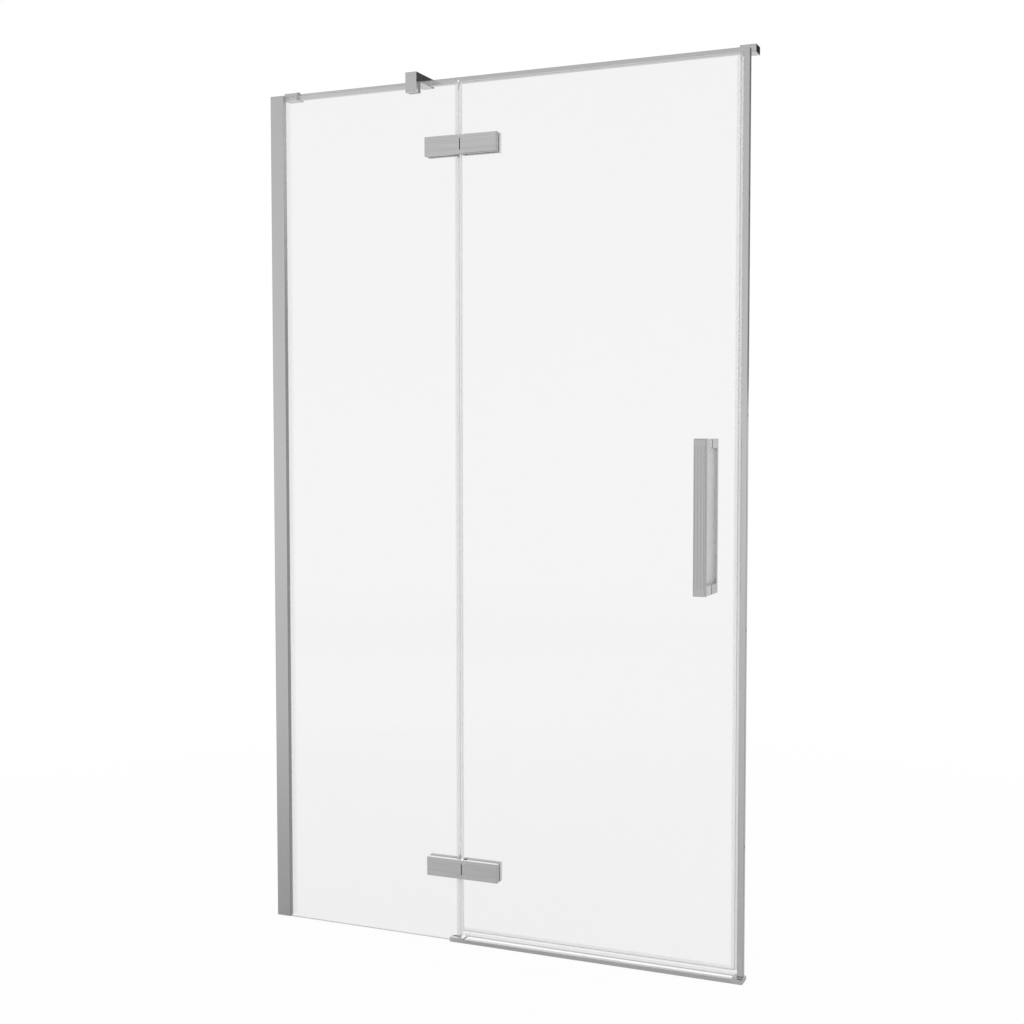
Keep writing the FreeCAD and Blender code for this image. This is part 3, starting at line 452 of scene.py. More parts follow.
@dataclass(frozen=True)
class ClearPane(Finish):
    """Clear toughened glass with a smooth coating; its ground edges are pale, with painted shade along the
    bottom.

    A film is how much of an edge's ground surface shows: level edges have one and the upright ones another.
    """

    edge_film: float
    level_film: float = 0.65
    tint: Colour = grey(0.9)
    haze_scale: Point = (2.6, 2.6, 1.9)
    haze_spread: float = 0.006
    face_limit: float = 0.9
    edge_tone: Colour = (0.62, 0.64, 0.63)
    # painted shade along the pane's bottom edge
    foot_tone: Colour = grey(0.3)
    foot_height: float = 0.028
    ground_scale: float = 700.0
    ground_spread: float = 0.06
    ground_gloss: float = 0.3
    ground_sheen: float = 0.2
    ground_depth: float = 0.00005
    ground_relief: float = 0.2

    def surface(self, graph: Graph) -> Socket:
        """Clear glass on the faces and a ground surface on the edges.

        The edges are where the piece's own normal turns away from Y.

        Args:
            graph: The material's graph.

        Returns:
            The mixed shader.
        """
        edge = 1 - abs(graph.axis("Normal", "Y")).above(self.face_limit)
        level = abs(graph.axis("Normal", "Z")).above(FACING_LIMIT)
        # painted shade: level edges low on the pane take the dark tone
        foot = (1 - graph.axis("Object", "Z").above(self.foot_height)) * level
        ground = graph.noise(self.ground_scale)
        pale = graph.vary(ground, self.edge_tone, self.ground_spread)
        rim = graph.add("ShaderNodeBsdfPrincipled", None, {
            "Base Color": graph.blend(foot, pale, self.foot_tone),
            "Roughness": self.ground_gloss + ground * self.ground_sheen,
            "Alpha": self.edge_film + level * (self.level_film - self.edge_film),
            "Normal": graph.relief(ground, self.ground_depth, self.ground_relief)})
        return graph.mix(edge, super().surface(graph), rim.outputs[0])

    def sockets(self, graph: Graph) -> dict:
        """The faces: nearly free of colour, with a faint broad haze.

        Args:
            graph: The material's graph.

        Returns:
            The shader's values and links.
        """
        haze = graph.noise(self.haze_scale, Detail.FINE)
        return {"Base Color": graph.vary(haze, self.tint, self.haze_spread), "Roughness": 0.0, "IOR": 1.52,
                "Specular IOR Level": 1.0, "Transmission Weight": 1.0, "Coat Weight": 1.0, "Coat IOR": 1.6,
                "Coat Roughness": 0.0}


@dataclass(frozen=True)
class ClearStrip(Finish):
    """Clear flexible extrusion: a thin see-through film with faint draw lines along its run.

    The free lip, right of lip_limit on an upright strip and below it on a level one, has a film of its own.
    The weights are those of draw lines and cloudy noise in the tone.
    """

    film: float
    lip_film: float
    run: Run = Run.UPRIGHT
    lip_limit: float = 0.0
    tone: Colour = (0.66, 0.67, 0.67)
    gloss: float = 0.16
    line_scale: float = 1300.0
    line_depth: float = 0.00005
    line_relief: float = 0.1
    cloud_scale: float = 30.0
    cloud_gloss: float = 0.1
    tone_weights: tuple[float, float] = (0.6, 0.4)
    tone_spread: float = 0.05
    film_swing: float = 0.02

    def sockets(self, graph: Graph) -> dict:
        """Draw lines are noise stretched along the run; they change tone, film and height a little.

        Args:
            graph: The material's graph.

        Returns:
            The shader's values and links.
        """
        lines = graph.noise(tuple(self.line_scale * share for share in Grain[self.run.name].value))
        cloud = graph.noise(self.cloud_scale)
        mixed = self.tone_weights[0] * lines + self.tone_weights[1] * cloud
        if self.run is Run.UPRIGHT:
            lip = graph.axis("Object", "X").above(self.lip_limit)
        else:
            lip = 1 - graph.axis("Object", "Z").above(self.lip_limit)
        film = self.film + lip * (self.lip_film - self.film)
        return {"Base Color": graph.vary(mixed, self.tone, self.tone_spread), "IOR": 1.5,
                "Roughness": self.gloss + cloud.swing(self.cloud_gloss),
                "Alpha": film + lines.swing(self.film_swing) + cloud.swing(self.film_swing),
                "Normal": graph.relief(lines, self.line_depth, self.line_relief)}


@dataclass(frozen=True)
class Moulding(Finish):
    """Moulded rubber or plastic: matt, finely pitted, with slightly cloudy colour.

    The weights are those of broad drift and fine pits in the tone.
    """

    tone: Colour
    gloss: float = 0.6
    pitting: float = 0.3
    skin: float = 0.0
    pit_scale: float = 1100.0
    pit_depth: float = 0.0001
    pit_gloss: float = 0.2
    drift_scale: float = 60.0
    tone_weights: tuple[float, float] = (0.7, 0.3)
    tone_spread: float = 0.15

    def sockets(self, graph: Graph) -> dict:
        """Pits are fine noise in height and gloss; the tone drifts with a broad noise.

        Args:
            graph: The material's graph.

        Returns:
            The shader's values and links.
        """
        pits = graph.noise(self.pit_scale, Detail.FINE)
        drift = graph.noise(self.drift_scale)
        mixed = self.tone_weights[0] * drift + self.tone_weights[1] * pits
        return {"Base Color": graph.vary(mixed, self.tone, self.tone_spread),
                "Roughness": self.gloss + pits.swing(self.pit_gloss),
                "Coat Weight": self.skin, "Coat IOR": 1.7, "Coat Roughness": 0.2,
                "Normal": graph.relief(pits, self.pit_depth, self.pitting)}


# front faces in front of the glass painted darker towards the bottom
# painted light and shade: right faces lighter, but darker in front of the glass and less so near the top;
POST_METAL = BrushedMetal("post_satin_aluminium", "satin_aluminium", grey(0.52), 0.2, painted_facets=(
    PaintedFacet(Facing.RIGHT, 1.8),
    PaintedFacet(Facing.RIGHT, 0.52, front_of=0.0),
    PaintedFacet(Facing.RIGHT, 0.9, front_of=0.0, start=1.45, fade=0.4, along=Along.HEIGHT),
    PaintedFacet(Facing.FRONT, 0.84, front_of=0.0, start=0.68, fade=-0.68, along=Along.HEIGHT)))
# painted shade: the strike's right faces darker
STRIKE_METAL = BrushedMetal("strike_satin_aluminium", "satin_aluminium", grey(0.52), 0.2, painted_facets=(
    PaintedFacet(Facing.RIGHT, 0.82),))
# painted shade: top faces darker, the top's front part darker still towards the right
RAIL_METAL = BrushedMetal(
    "rail_satin_aluminium", "satin_aluminium", grey(0.5), 0.2, Grain.LEVEL, relief=0.04, painted_facets=(
        PaintedFacet(Facing.TOP, 0.88),
        PaintedFacet(Facing.TOP, 0.62, front_of=-0.005, start=-0.1, fade=0.5)))
# painted light: undersides lighter
# painted reflection: a lighter tone whose front faces are painted darker again towards the right;
BAR_METAL = BrushedMetal(
    "bar_satin_aluminium", "satin_aluminium", grey(0.59), 0.2, Grain.LEVEL, relief=0.04, painted_facets=(
        PaintedFacet(Facing.FRONT, 0.885, start=-0.45, fade=0.35),
        PaintedFacet(Facing.UNDER, 1.08)))
# painted light and shade on the hinge plates: side faces lighter, right faces in front darker,
# undersides darker, tops behind the glass dark and tops in front a painted highlight
PLATE_METAL = BrushedMetal(
    "plate_brushed_steel", "brushed_steel", grey(0.54), 0.14, Grain.LEVEL, contrast=0.32,
    broad_share=0.45, painted_facets=(
        PaintedFacet(Facing.RIGHT, 1.7, start=-0.1),
        PaintedFacet(Facing.LEFT, 1.7, start=-0.1),
        PaintedFacet(Facing.RIGHT, 0.75, front_of=0.0, start=-0.03),
        PaintedFacet(Facing.UNDER, 0.5),
        PaintedFacet(Facing.TOP, 0.1),
        PaintedFacet(Facing.TOP, 1.7, front_of=0.0)))
# painted shade: right faces of the right-hand bracket darker
CLAMP_METAL = BrushedMetal(
    "clamp_brushed_steel", "brushed_steel", grey(0.53), 0.08, Grain.LEVEL, contrast=0.14, relief=0.06,
    painted_facets=(PaintedFacet(Facing.RIGHT, 0.55, start=0.5),))
# painted shade: right faces in front of the glass darker
GRIP_METAL = BrushedMetal("grip_brushed_steel", "brushed_steel", grey(0.47), 0.22, painted_facets=(
    PaintedFacet(Facing.RIGHT, 0.72, front_of=0.0),))
HANDLE_POST_METAL = BrushedMetal("handle_post_brushed_steel", "brushed_steel", grey(0.53), 0.22)
# painted reflection: front faces lighter
INNER_METAL = BrushedMetal("inner_grip_brushed_steel", "brushed_steel", grey(0.52), 0.22, painted_facets=(
    PaintedFacet(Facing.FRONT, 1.55),))
CAP_PLASTIC = BrushedMetal("cap_satin_grey", "cap_plastic", grey(0.54), 0.36, Grain.ROUND, fineness=500.0)
# painted light and shade: the left cap's top and right faces lighter, the right cap's top darker
RAIL_CAP = replace(CAP_PLASTIC, name="rail_cap_satin_grey", painted_facets=(
    PaintedFacet(Facing.TOP, 1.4),
    PaintedFacet(Facing.RIGHT, 1.6),
    PaintedFacet(Facing.TOP, 0.7, start=0.3),
    PaintedFacet(Facing.RIGHT, 1.0, start=0.3)))
FASTENER = TurnedMetal("turned_fastener_steel", "steel_fastener")
DARK_SCREW = TurnedMetal("black_coated_screw", "dark_screw", grey(0.02), gloss=0.5, metallic=0.0)
GLASS = ClearPane("clear_safety_glass", "clear_glass", edge_film=0.1)
DOOR_GLASS = ClearPane("clear_door_glass", "clear_glass", edge_film=0.44, level_film=0.5)
SEAL_UPRIGHT = ClearStrip("clear_seal_upright", "clear_seal", film=0.15, lip_film=0.15)
SEAL_CLOSING = ClearStrip("clear_seal_closing", "clear_seal", film=0.1, lip_film=0.17)
SEAL_LEVEL = ClearStrip("clear_seal_level", "clear_seal", film=0.085, lip_film=0.2, run=Run.LEVEL,
                        lip_limit=0.0205)
# pale rubber, lifted further as painted light against the shade of the post's pocket
RUBBER = Moulding("grey_gasket_rubber", "grey_rubber", grey(0.85), gloss=0.45, pitting=0.2, skin=1.0)
FOOT_RUBBER = Moulding("black_foot_rubber", "black_rubber", grey(0.06))
# pale rubber, lifted further as painted light against the shade of the slots it sits in
PAD = Moulding("pale_pad_rubber", "grey_rubber", grey(0.9), gloss=0.45, pitting=0.2, skin=1.0)
BEARING = Moulding("bearing_plastic", "grey_plastic", (0.8, 0.8, 0.77), gloss=0.45, pitting=0.12)


def dress(finishes: dict[str, Finish]) -> None:
    """Give CAD nodes their finishes.

    Args:
        finishes: A finish for each node's name.
    """
    for name, finish in finishes.items():
        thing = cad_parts[name]
        thing.data.materials.clear()
        thing.data.materials.append(finish.make())
        LOG.info("dressed %s in %s", name, finish.name)


def node_box(name: str) -> tuple[np.ndarray, np.ndarray]:
    """The two corners of a CAD node's box, in millimetres."""
    low, high = (np.array(corner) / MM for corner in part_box(name))
    return low, high


def loop_faces(rows: int, columns: int, start: int = 0) -> list[tuple[int, ...]]:
    """Quads of a grid whose columns close into a ring.

    Args:
        rows: Rings of points.
        columns: Points of each ring.
        start: Number of the first point.

    Returns:
        The faces, as point numbers.
    """
    row = np.arange(rows - 1)[:, None] * columns + start
    column = np.arange(columns)[None, :]
    after = (column + 1) % columns
    corners = [row + column, row + after, row + columns + after, row + columns + column]
    return [tuple(face) for face in np.stack(corners, axis=2).reshape(-1, 4).tolist()]


@dataclass(frozen=True)
class Surface:
    """Points and faces of a piece before it becomes a mesh."""

    points: np.ndarray
    faces: list[tuple[int, ...]]

    def with_more(self, other: "Surface") -> "Surface":
        """This surface and another one as a single surface."""
        moved = [tuple(corner + len(self.points) for corner in face) for face in other.faces]
        return Surface(np.concatenate([self.points, other.points]), self.faces + moved)


def make_piece(name: str, surface: Surface, finish: Finish, body: Body, node: str) -> None:
    """Turn a surface into a piece of the part, in the place of a CAD node.

    Args:
        name: The piece's name.
        surface: Its points and faces, in the part's frame.
        finish: Its finish.
        body: The body that it moves with.
        node: The CAD node that it takes the place of.
    """
    mesh = bpy.data.meshes.new(name)
    mesh.from_pydata(surface.points.tolist(), [], surface.faces)
    work = bmesh.new()
    work.from_mesh(mesh)
    bmesh.ops.remove_doubles(work, verts=work.verts, dist=MERGE_DISTANCE)
    bmesh.ops.recalc_face_normals(work, faces=work.faces)
    work.to_mesh(mesh)
    work.free()
    mesh.polygons.foreach_set("use_smooth", np.ones(len(mesh.polygons), bool))
    mesh.set_sharp_from_angle(angle=math.radians(CREASE_DEGREES))
    mesh.materials.append(finish.make())
    thing = bpy.data.objects.new(name, mesh)
    bpy.context.scene.collection.objects.link(thing)
    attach(thing, body.value)
    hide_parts(node)
    LOG.info("made %s: %d faces on %s", name, len(mesh.polygons), body.value)


def carried(section: np.ndarray, ends: tuple[float, float], run: Run) -> np.ndarray:
    """Points of a section at both ends of a run: the section's two values with the run as the third."""
    along = np.repeat(np.array(ends), len(section))[:, None]
    return np.roll(np.hstack([np.concatenate([section, section]), along]), run.value, axis=1)


def solid_strip(outline: np.ndarray, ends: tuple[float, float], run: Run) -> Surface:
    """A closed strip: an outline carried along a straight run, with a flat face at each end.

    Args:
        outline: Corner points of the section in order, in metres.
        ends: Where the run starts and ends.
        run: Which way the outline is carried.

    Returns:
        The strip.
    """
    count = len(outline)
    caps = [tuple(range(count))[::-1], tuple(range(count, 2 * count))]
    return Surface(carried(outline, ends, run), loop_faces(2, count) + caps)


def hollow_strip(outer: np.ndarray, hole: np.ndarray, ends: tuple[float, float], run: Run) -> Surface:
    """A closed strip with a hole along it, from half of a section that is alike on both sides of its middle.

    Both lines are mirrored in the section's second value. Each end is closed by two faces, one for each
    half, which run along the outer line and back along the hole.

    Args:
        outer: Half of the outer line, from the middle to the middle again.
        hole: Half of the hole's line, from the same side of the middle.
        ends: Where the run starts and ends.
        run: Which way the section is carried.

    Returns:
        The strip.
    """
    loops = [np.concatenate([half, half[-2:0:-1] * MIRROR_SECOND]) for half in (outer, hole)]
    sizes = [len(loop) for loop in loops]
    turns = [len(outer), len(hole)]
    points = np.concatenate([carried(loop, ends, run) for loop in loops])
    faces = loop_faces(2, sizes[0]) + loop_faces(2, sizes[1], 2 * sizes[0])
    for end in (0, 1):
        first = np.arange(sizes[0]) + end * sizes[0]
        second = np.arange(sizes[1]) + 2 * sizes[0] + end * sizes[1]
        upper = np.concatenate([first[:turns[0]], second[:turns[1]][::-1]])
        lower = np.concatenate([first[turns[0] - 1:], first[:1], second[:1], second[turns[1] - 1:][::-1]])
        faces += [tuple(face.tolist()) for face in (upper, lower)]
    return Surface(points, faces)


def bulge(start: float, reach: float, height: float) -> np.ndarray:
    """A quarter of a rounded box, from its tip to its top: start + reach cos^p, height sin^p."""
    across, up = (part(np.linspace(0.0, math.pi / 2, BULGE_STEPS)).clip(0) for part in (np.cos, np.sin))
    return np.stack([start + reach * across ** BULGE_POWER, height * up ** BULGE_POWER], axis=1)


@dataclass(frozen=True)
class SocketScrew:
    """A screw with a hexagon socket, as rings of (radius, depth below the head's top); millimetres."""

    rings: tuple[tuple[float, float], ...]
    socket: float = 1.5
    socket_depth: float = 2.0
    knurled: bool = False
    cone_depth: float = 0.5
    mouth_depth: float = 0.2
    mouth_flare: float = 0.15
    steps: int = 36
    ridges: int = 36
    ridge_steps: int = 4
    ridge_depth: float = 0.025
    ridge_margin: float = 0.05

    def surface(self, centre: Point, axis: Axis) -> Surface:
        """Rings round the screw's axis, from the socket's floor over the head to the tip.

        A ring of the socket lies at a hexagon's distance from the axis, apothem / cos(angle from the flat's
        middle); a knurled head's widest rings rise and fall with the cosine of the angle.

        Args:
            centre: The middle of the head's top, in metres.
            axis: Which way the head faces.

        Returns:
            The screw.
        """
        steps = self.ridges * self.ridge_steps if self.knurled else self.steps
        turn = np.linspace(0.0, 2 * math.pi, steps, endpoint=False)
        flat = 1 / np.cos((turn + math.pi / 6) % (math.pi / 3) - math.pi / 6)
        inner = np.array([(0.0, self.socket_depth + self.cone_depth), (self.socket, self.socket_depth),
                          (self.socket, self.mouth_depth), (self.socket + self.mouth_flare, 0.0)])
        rings = np.array(self.rings)
        depth_share = self.ridge_depth if self.knurled else 0.0
        ridges = 1 - depth_share * (0.5 + 0.5 * np.cos(self.ridges * turn))
        widest = rings[:, :1] > rings[:, :1].max() - self.ridge_margin
        radius = np.concatenate([inner[:, :1] * flat, rings[:, :1] * np.where(widest, ridges, 1.0)])
        depth = np.concatenate([inner[:, 1:], rings[:, 1:]]) * np.ones_like(turn)
        grid = np.stack([radius * np.cos(turn), radius * np.sin(turn), -depth], axis=2) * MM
        points = np.roll(grid.reshape(-1, 3), axis.value, axis=1) + np.array(centre)
        return Surface(points, loop_faces(len(radius), len(turn)))


def screw_set(node: str, screw: SocketScrew, centres: list[Point], axis: Axis, finish: Finish,
              body: Body) -> None:
    """Several screws of one kind as one piece, in the place of the CAD node of the same job.

    Args:
        node: The CAD node's name; the piece is named after it.
        screw: The screw.
        centres: The middle of each head's top, in millimetres.
        axis: Which way the heads face.
        finish: Their finish.
        body: The body that they move with.
    """
    whole = Surface(np.empty((0, 3)), [])
    for centre in centres:
        whole = whole.with_more(screw.surface(tuple(part * MM for part in centre), axis))
    make_piece(f"{node}_socketed", whole, finish, body, node)


@dataclass
class WallSide:
    """The wall channel, the post over it with cap and screws, and the gasket in its pocket; millimetres."""

    screw_x: float = -574.0
    screw_top: float = 16.0
    screw_heights: tuple[float, ...] = (300.0, 1000.0, 1700.0)
    screw: SocketScrew = SocketScrew(((3.2, 0.0), (3.75, 0.3), (4.0, 0.9), (4.0, 2.0), (2.0, 2.0),
                                      (2.0, 7.9), (1.6, 8.3), (0.0, 8.3)), 1.25, 1.5)
    glass_half: float = 4.0
    back_wing_step: float = 8.0
    lining: float = 1.5
    slack: float = 0.02
    corner: float = 0.6
    lip_gap: float = 0.12
    lip_length: float = 2.2
    lip_height: float = 0.25
    lip_steps: int = 9

    def build(self) -> None:
        """Dress the nodes of the left wall and make the lipped gasket and the socket screws."""
        dress({"wall_channel": POST_METAL, "wall_post": POST_METAL, "post_cap": CAP_PLASTIC})
        self.make_gasket()
        places = [(self.screw_x, self.screw_top, height) for height in self.screw_heights]
        screw_set("post_screws", self.screw, places, Axis.INWARD, FASTENER, Body.FRAME)

    def gasket_half(self, root: float, wide: float, mouth: float) -> np.ndarray:
        """Half of the gasket's section: its back, its outer side, a round lip and the side on the glass.

        Args:
            root: Its back, in the post.
            wide: Its outer side.
            mouth: Where its lip ends.

        Returns:
            The points, two values each.
        """
        near = self.glass_half + self.lip_gap
        bead = (wide - near) / 2
        turn = np.linspace(math.pi / 2, -math.pi / 2, self.lip_steps)
        nose = np.stack([mouth - bead + bead * np.cos(turn), near + bead + bead * np.sin(turn)], axis=1)
        floor, inner = root + self.lining, near + self.lip_height
        return np.concatenate([[(root, 0.0), (root, wide - self.corner), (root + self.corner, wide)], nose,
                               [(mouth - self.lip_length, inner), (floor, inner), (floor, 0.0)]])

    def make_gasket(self) -> None:
        """The gasket: a channel round the pane's edge whose two mouths swell into round lips on the glass.

        Behind the glass it ends with the post's back wing, which is shorter than the front one.
        """
        low, high = node_box("glazing_gasket")
        wide = high[1] - self.slack
        back, front = (self.gasket_half(low[0], wide, high[0] - step) for step in (self.back_wing_step, 0.0))
        outline = np.concatenate([back, front[-2:0:-1] * MIRROR_SECOND])
        strip = solid_strip(outline * MM, (low[2] * MM, high[2] * MM), Run.UPRIGHT)
        make_piece("glazing_gasket_lipped", strip, RUBBER, Body.FRAME, "glazing_gasket")


@dataclass
class Panes:
    """The fixed pane and the door pane."""

    def build(self) -> None:
        """Dress the panes; clear glass throws no shadow of its own."""
        panes = {"fixed_pane": GLASS, "door_pane": DOOR_GLASS}
        dress(panes)
        for name in panes:
            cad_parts[name].visible_shadow = False


@dataclass
class Hinges:
    """Two three-knuckle hinges, clamped through the glass; millimetres."""

    levels: tuple[tuple[str, float], ...] = (("upper", 1850.0), ("lower", 175.0))
    axis_x: float = -80.1
    screw_reach: tuple[float, float] = (28.0, 66.0)
    screw_top: float = 16.5
    screw: SocketScrew = SocketScrew(((4.3, 0.0), (4.5, 0.12), (2.5, 2.5), (2.5, 27.1), (2.1, 27.5),
                                      (0.0, 27.5)))

    def build(self) -> None:
        """Dress plates, gaskets, pins and bushes, and make the countersunk socket screws."""
        dress({f"hinge_{level}_{owner}_{side}": PLATE_METAL for level, _ in self.levels
               for owner in ("frame", "door") for side in ("front", "back")})
        dress({"hinge_frame_gaskets": PAD, "hinge_door_gaskets": PAD, "hinge_pins": FASTENER,
               "hinge_bushes": BEARING})
        for body, side in ((Body.FRAME, -1), (Body.DOOR, 1)):
            places = [(self.axis_x + side * reach, self.screw_top, height)
                      for _, height in self.levels for reach in self.screw_reach]
            screw_set(f"hinge_{body.value}_screws", self.screw, places, Axis.INWARD, FASTENER, body)


@dataclass
class Seals:
    """Clear seals at the seam, the closing edge and the bottom of the door; millimetres.

    tip_outer and tip_inner are the corners of a leg's tip: how far each lies from the tip along the leg,
    and from the leg's outer face or the barb's face.
    """

    leg: float = 8.0
    wall: float = 1.2
    glass_half: float = 4.0
    gap: float = 0.15
    barb: float = 0.25
    barb_end: float = 1.5
    tip_outer: tuple[tuple[float, float], ...] = ((0.5, 0.0), (0.15, 0.12), (0.0, 0.4))
    tip_inner: tuple[tuple[float, float], ...] = ((0.0, 0.2), (0.2, 0.0), (0.9, 0.0))
    bulb_root: float = 0.3
    drip_base: float = 2.0
    end_gap: float = 0.5
    tail_gap: float = 0.02
    foot_bevel: float = 0.3
    lip_root: float = 3.2
    lip_tip: float = 4.0
    lip_bow: float = 0.9
    lip_half: float = 0.95
    lip_thinning: float = 0.5
    lip_steps: int = 12

    def build(self) -> None:
        """Make the five seals in the place of their plain solids."""
        for level in ("lower", "middle", "upper"):
            self.make_edge_seal(f"seam_seal_{level}", Body.FRAME, SEAL_UPRIGHT)
        self.make_edge_seal("closing_seal", Body.DOOR, SEAL_CLOSING)
        self.make_drip_seal()

    def leg_line(self, edge: float, wide: float) -> np.ndarray:
        """A leg's line from its outer root round its tip and barb to the channel's floor beside the glass.

        Args:
            edge: The glass edge along the section's first value.
            wide: The leg's outer face.

        Returns:
            The points, two values each.
        """
        tip = edge - self.leg
        near = self.glass_half + self.gap
        free = near + self.barb
        outer = np.array((tip, wide)) + np.array(self.tip_outer) * MIRROR_SECOND
        inner = np.array((tip, near)) + np.array(self.tip_inner)
        return np.concatenate([outer, inner, [(tip + self.barb_end, free), (edge + self.gap, free)]])

    def make_edge_seal(self, node: str, body: Body, finish: ClearStrip) -> None:
        """An upright seal: two barbed legs on the glass and a hollow round-nosed bulb beyond its edge.

        Args:
            node: The CAD node whose place it takes.
            body: The body that it moves with.
            finish: Its finish.
        """
        low, high = node_box(node)
        edge, tip, wide = low[0] + self.leg, high[0], high[1]
        root = edge + self.bulb_root
        nose = bulge(root, tip - root, wide)
        outer = np.concatenate([nose, self.leg_line(edge, wide), [(edge + self.gap, 0.0)]])
        floor = edge + self.gap + self.wall
        hollow = bulge(floor, tip - self.wall - floor, wide - self.wall)
        hole = np.concatenate([hollow, [(floor, 0.0)]])
        strip = hollow_strip(outer * MM, hole * MM, (low[2] * MM, high[2] * MM), Run.UPRIGHT)
        make_piece(f"{node}_bulb", strip, replace(finish, lip_limit=edge * MM), body, node)

    def make_drip_seal(self) -> None:
        """The drip seal: barbed legs, a base under the glass and a bowed lip that thins towards its tip.

        The lip's middle line is its root plus t times the way to its tip, bowed forward by sin(pi t). Base
        and lip run on under the closing seal, where there are no legs.
        """
        low, high = node_box("drip_seal")
        leg_end = node_box("closing_seal")[0][0] - self.end_gap
        wide, base = high[1], high[2] - self.leg
        sole = base - self.drip_base
        turn = np.linspace(0.0, 1.0, self.lip_steps)
        half = self.lip_half - self.lip_thinning * turn
        bow = self.lip_bow * np.sin(math.pi * turn)
        middle = self.lip_root + (self.lip_tip - self.lip_root) * turn - bow
        drop = sole + (low[2] - sole) * turn
        lip = np.concatenate([np.stack([middle + half, drop], axis=1),
                              np.stack([middle - half, drop], axis=1)[::-1]])
        foot = np.array([(wide, sole + self.foot_bevel), (wide - self.foot_bevel, sole)])
        leg = (self.leg_line(-base, wide) * MIRROR_FIRST)[:, ::-1]
        shelf = np.array([(wide, base - self.end_gap)])
        under = np.concatenate([foot, lip, foot[::-1] * MIRROR_FIRST])
        clip = np.concatenate([under, leg * MIRROR_FIRST, leg[::-1]])
        tail = np.concatenate([under, shelf * MIRROR_FIRST, shelf])
        strip = solid_strip(clip * MM, (low[0] * MM, leg_end * MM), Run.LEVEL)
        tail_start = (leg_end + self.tail_gap) * MM
        strip = strip.with_more(solid_strip(tail * MM, (tail_start, high[0] * MM), Run.LEVEL))
        make_piece("drip_seal_lip", strip, SEAL_LEVEL, Body.DOOR, "drip_seal")


@dataclass
class Strike:
    """The strike profile on the right wall."""

    def build(self) -> None:
        """Dress channel, cover and foot."""
        dress({"strike_channel": STRIKE_METAL, "strike_cover": STRIKE_METAL, "strike_foot": FOOT_RUBBER})


@dataclass
class Threshold:
    """The low rail under the door."""

    def build(self) -> None:
        """Dress the rail and its caps."""
        dress({"threshold_rail": RAIL_METAL, "threshold_cap_left": RAIL_CAP,
               "threshold_cap_right": RAIL_CAP})


@dataclass
class Stabiliser:
    """The bar behind the glass top with its brackets and clamp; millimetres."""

    clamp_screw: SocketScrew = SocketScrew(((4.9, 0.0), (5.5, 0.5), (5.5, 3.5), (3.0, 3.5), (3.0, 5.0),
                                            (0.0, 5.0)), 2.0, 2.2, knurled=True)
    clamp_screw_top: Point = (-557.0, 63.0, 2024.0)
    set_screw: SocketScrew = SocketScrew(((2.2, 0.0), (2.5, 0.3), (2.5, 9.4), (1.4, 10.0), (0.0, 10.0)),
                                         1.25, 2.0)
    set_screw_tops: tuple[Point, ...] = ((577.0, 80.0, 2012.0), (-207.7, 80.0, 2012.0))

    def build(self) -> None:
        """Dress bar, brackets and clamp, and make the knurled clamp screw and the set screws."""
        dress({"stabiliser_bar": BAR_METAL, "bar_bracket_left": CLAMP_METAL,
               "bar_bracket_right": CLAMP_METAL, "glass_clamp": CLAMP_METAL, "clamp_pads": PAD})
        screw_set("bar_clamp_screw", self.clamp_screw, [self.clamp_screw_top], Axis.UP, DARK_SCREW,
                  Body.FRAME)
        screw_set("bar_set_screws", self.set_screw, list(self.set_screw_tops), Axis.INWARD, DARK_SCREW,
                  Body.FRAME)


@dataclass
class Handle:
    """Back-to-back pull handles with grooved grips."""

    def build(self) -> None:
        """Dress grips, posts, washers and studs."""
        dress({"handle_outer_grip": GRIP_METAL, "handle_inner_grip": INNER_METAL,
               "handle_outer_posts": HANDLE_POST_METAL, "handle_inner_posts": HANDLE_POST_METAL,
               "handle_washers": PAD, "handle_studs": FASTENER})


@dataclass(frozen=True)
class Softbox:
    """A soft rectangular lamp that is not itself in view; metal shows it only if it is mirrored."""

    name: str
    place: Point
    target: Point
    size: tuple[float, float]
    watts: float
    mirrored: bool = False

    def build(self) -> None:
        """Hang the lamp so that it faces its target."""
        lamp = bpy.data.lights.new(self.name, "AREA")
        lamp.shape = "RECTANGLE"
        lamp.size, lamp.size_y = self.size
        lamp.energy = self.watts
        thing = bpy.data.objects.new(self.name, lamp)
        bpy.context.scene.collection.objects.link(thing)
        thing.location = self.place
        thing.rotation_mode = "QUATERNION"
        thing.rotation_quaternion = (Vector(self.target) - Vector(self.place)).to_track_quat("-Z", "Y")
        thing.visible_camera = False
        thing.visible_transmission = False
        thing.visible_glossy = self.mirrored


@dataclass(frozen=True)
class Sheet:
    """A flat sheet of the stage as a grid of two parameters: corner + u across + v along."""

    name: str
    corner: Point
    across: Point
    along: Point
    cells: int = 8

    def build(self, material: bpy.types.Material) -> bpy.types.Object:
        """Make the sheet.

        Args:
            material: What it is made of.

        Returns:
            The sheet.
        """
        side = self.cells + 1
        u, v = np.meshgrid(np.linspace(0, 1, side), np.linspace(0, 1, side))
        points = self.corner + u.reshape(-1, 1) * self.across + v.reshape(-1, 1) * self.along
        first = (np.arange(self.cells)[:, None] * side + np.arange(self.cells)[None, :]).reshape(-1)
        faces = np.stack([first, first + 1, first + side + 1, first + side], axis=1)
        mesh = bpy.data.meshes.new(self.name)
        mesh.from_pydata(points.tolist(), [], faces.tolist())
        mesh.materials.append(material)
        thing = bpy.data.objects.new(self.name, mesh)
        bpy.context.scene.collection.objects.link(thing)
        return thing


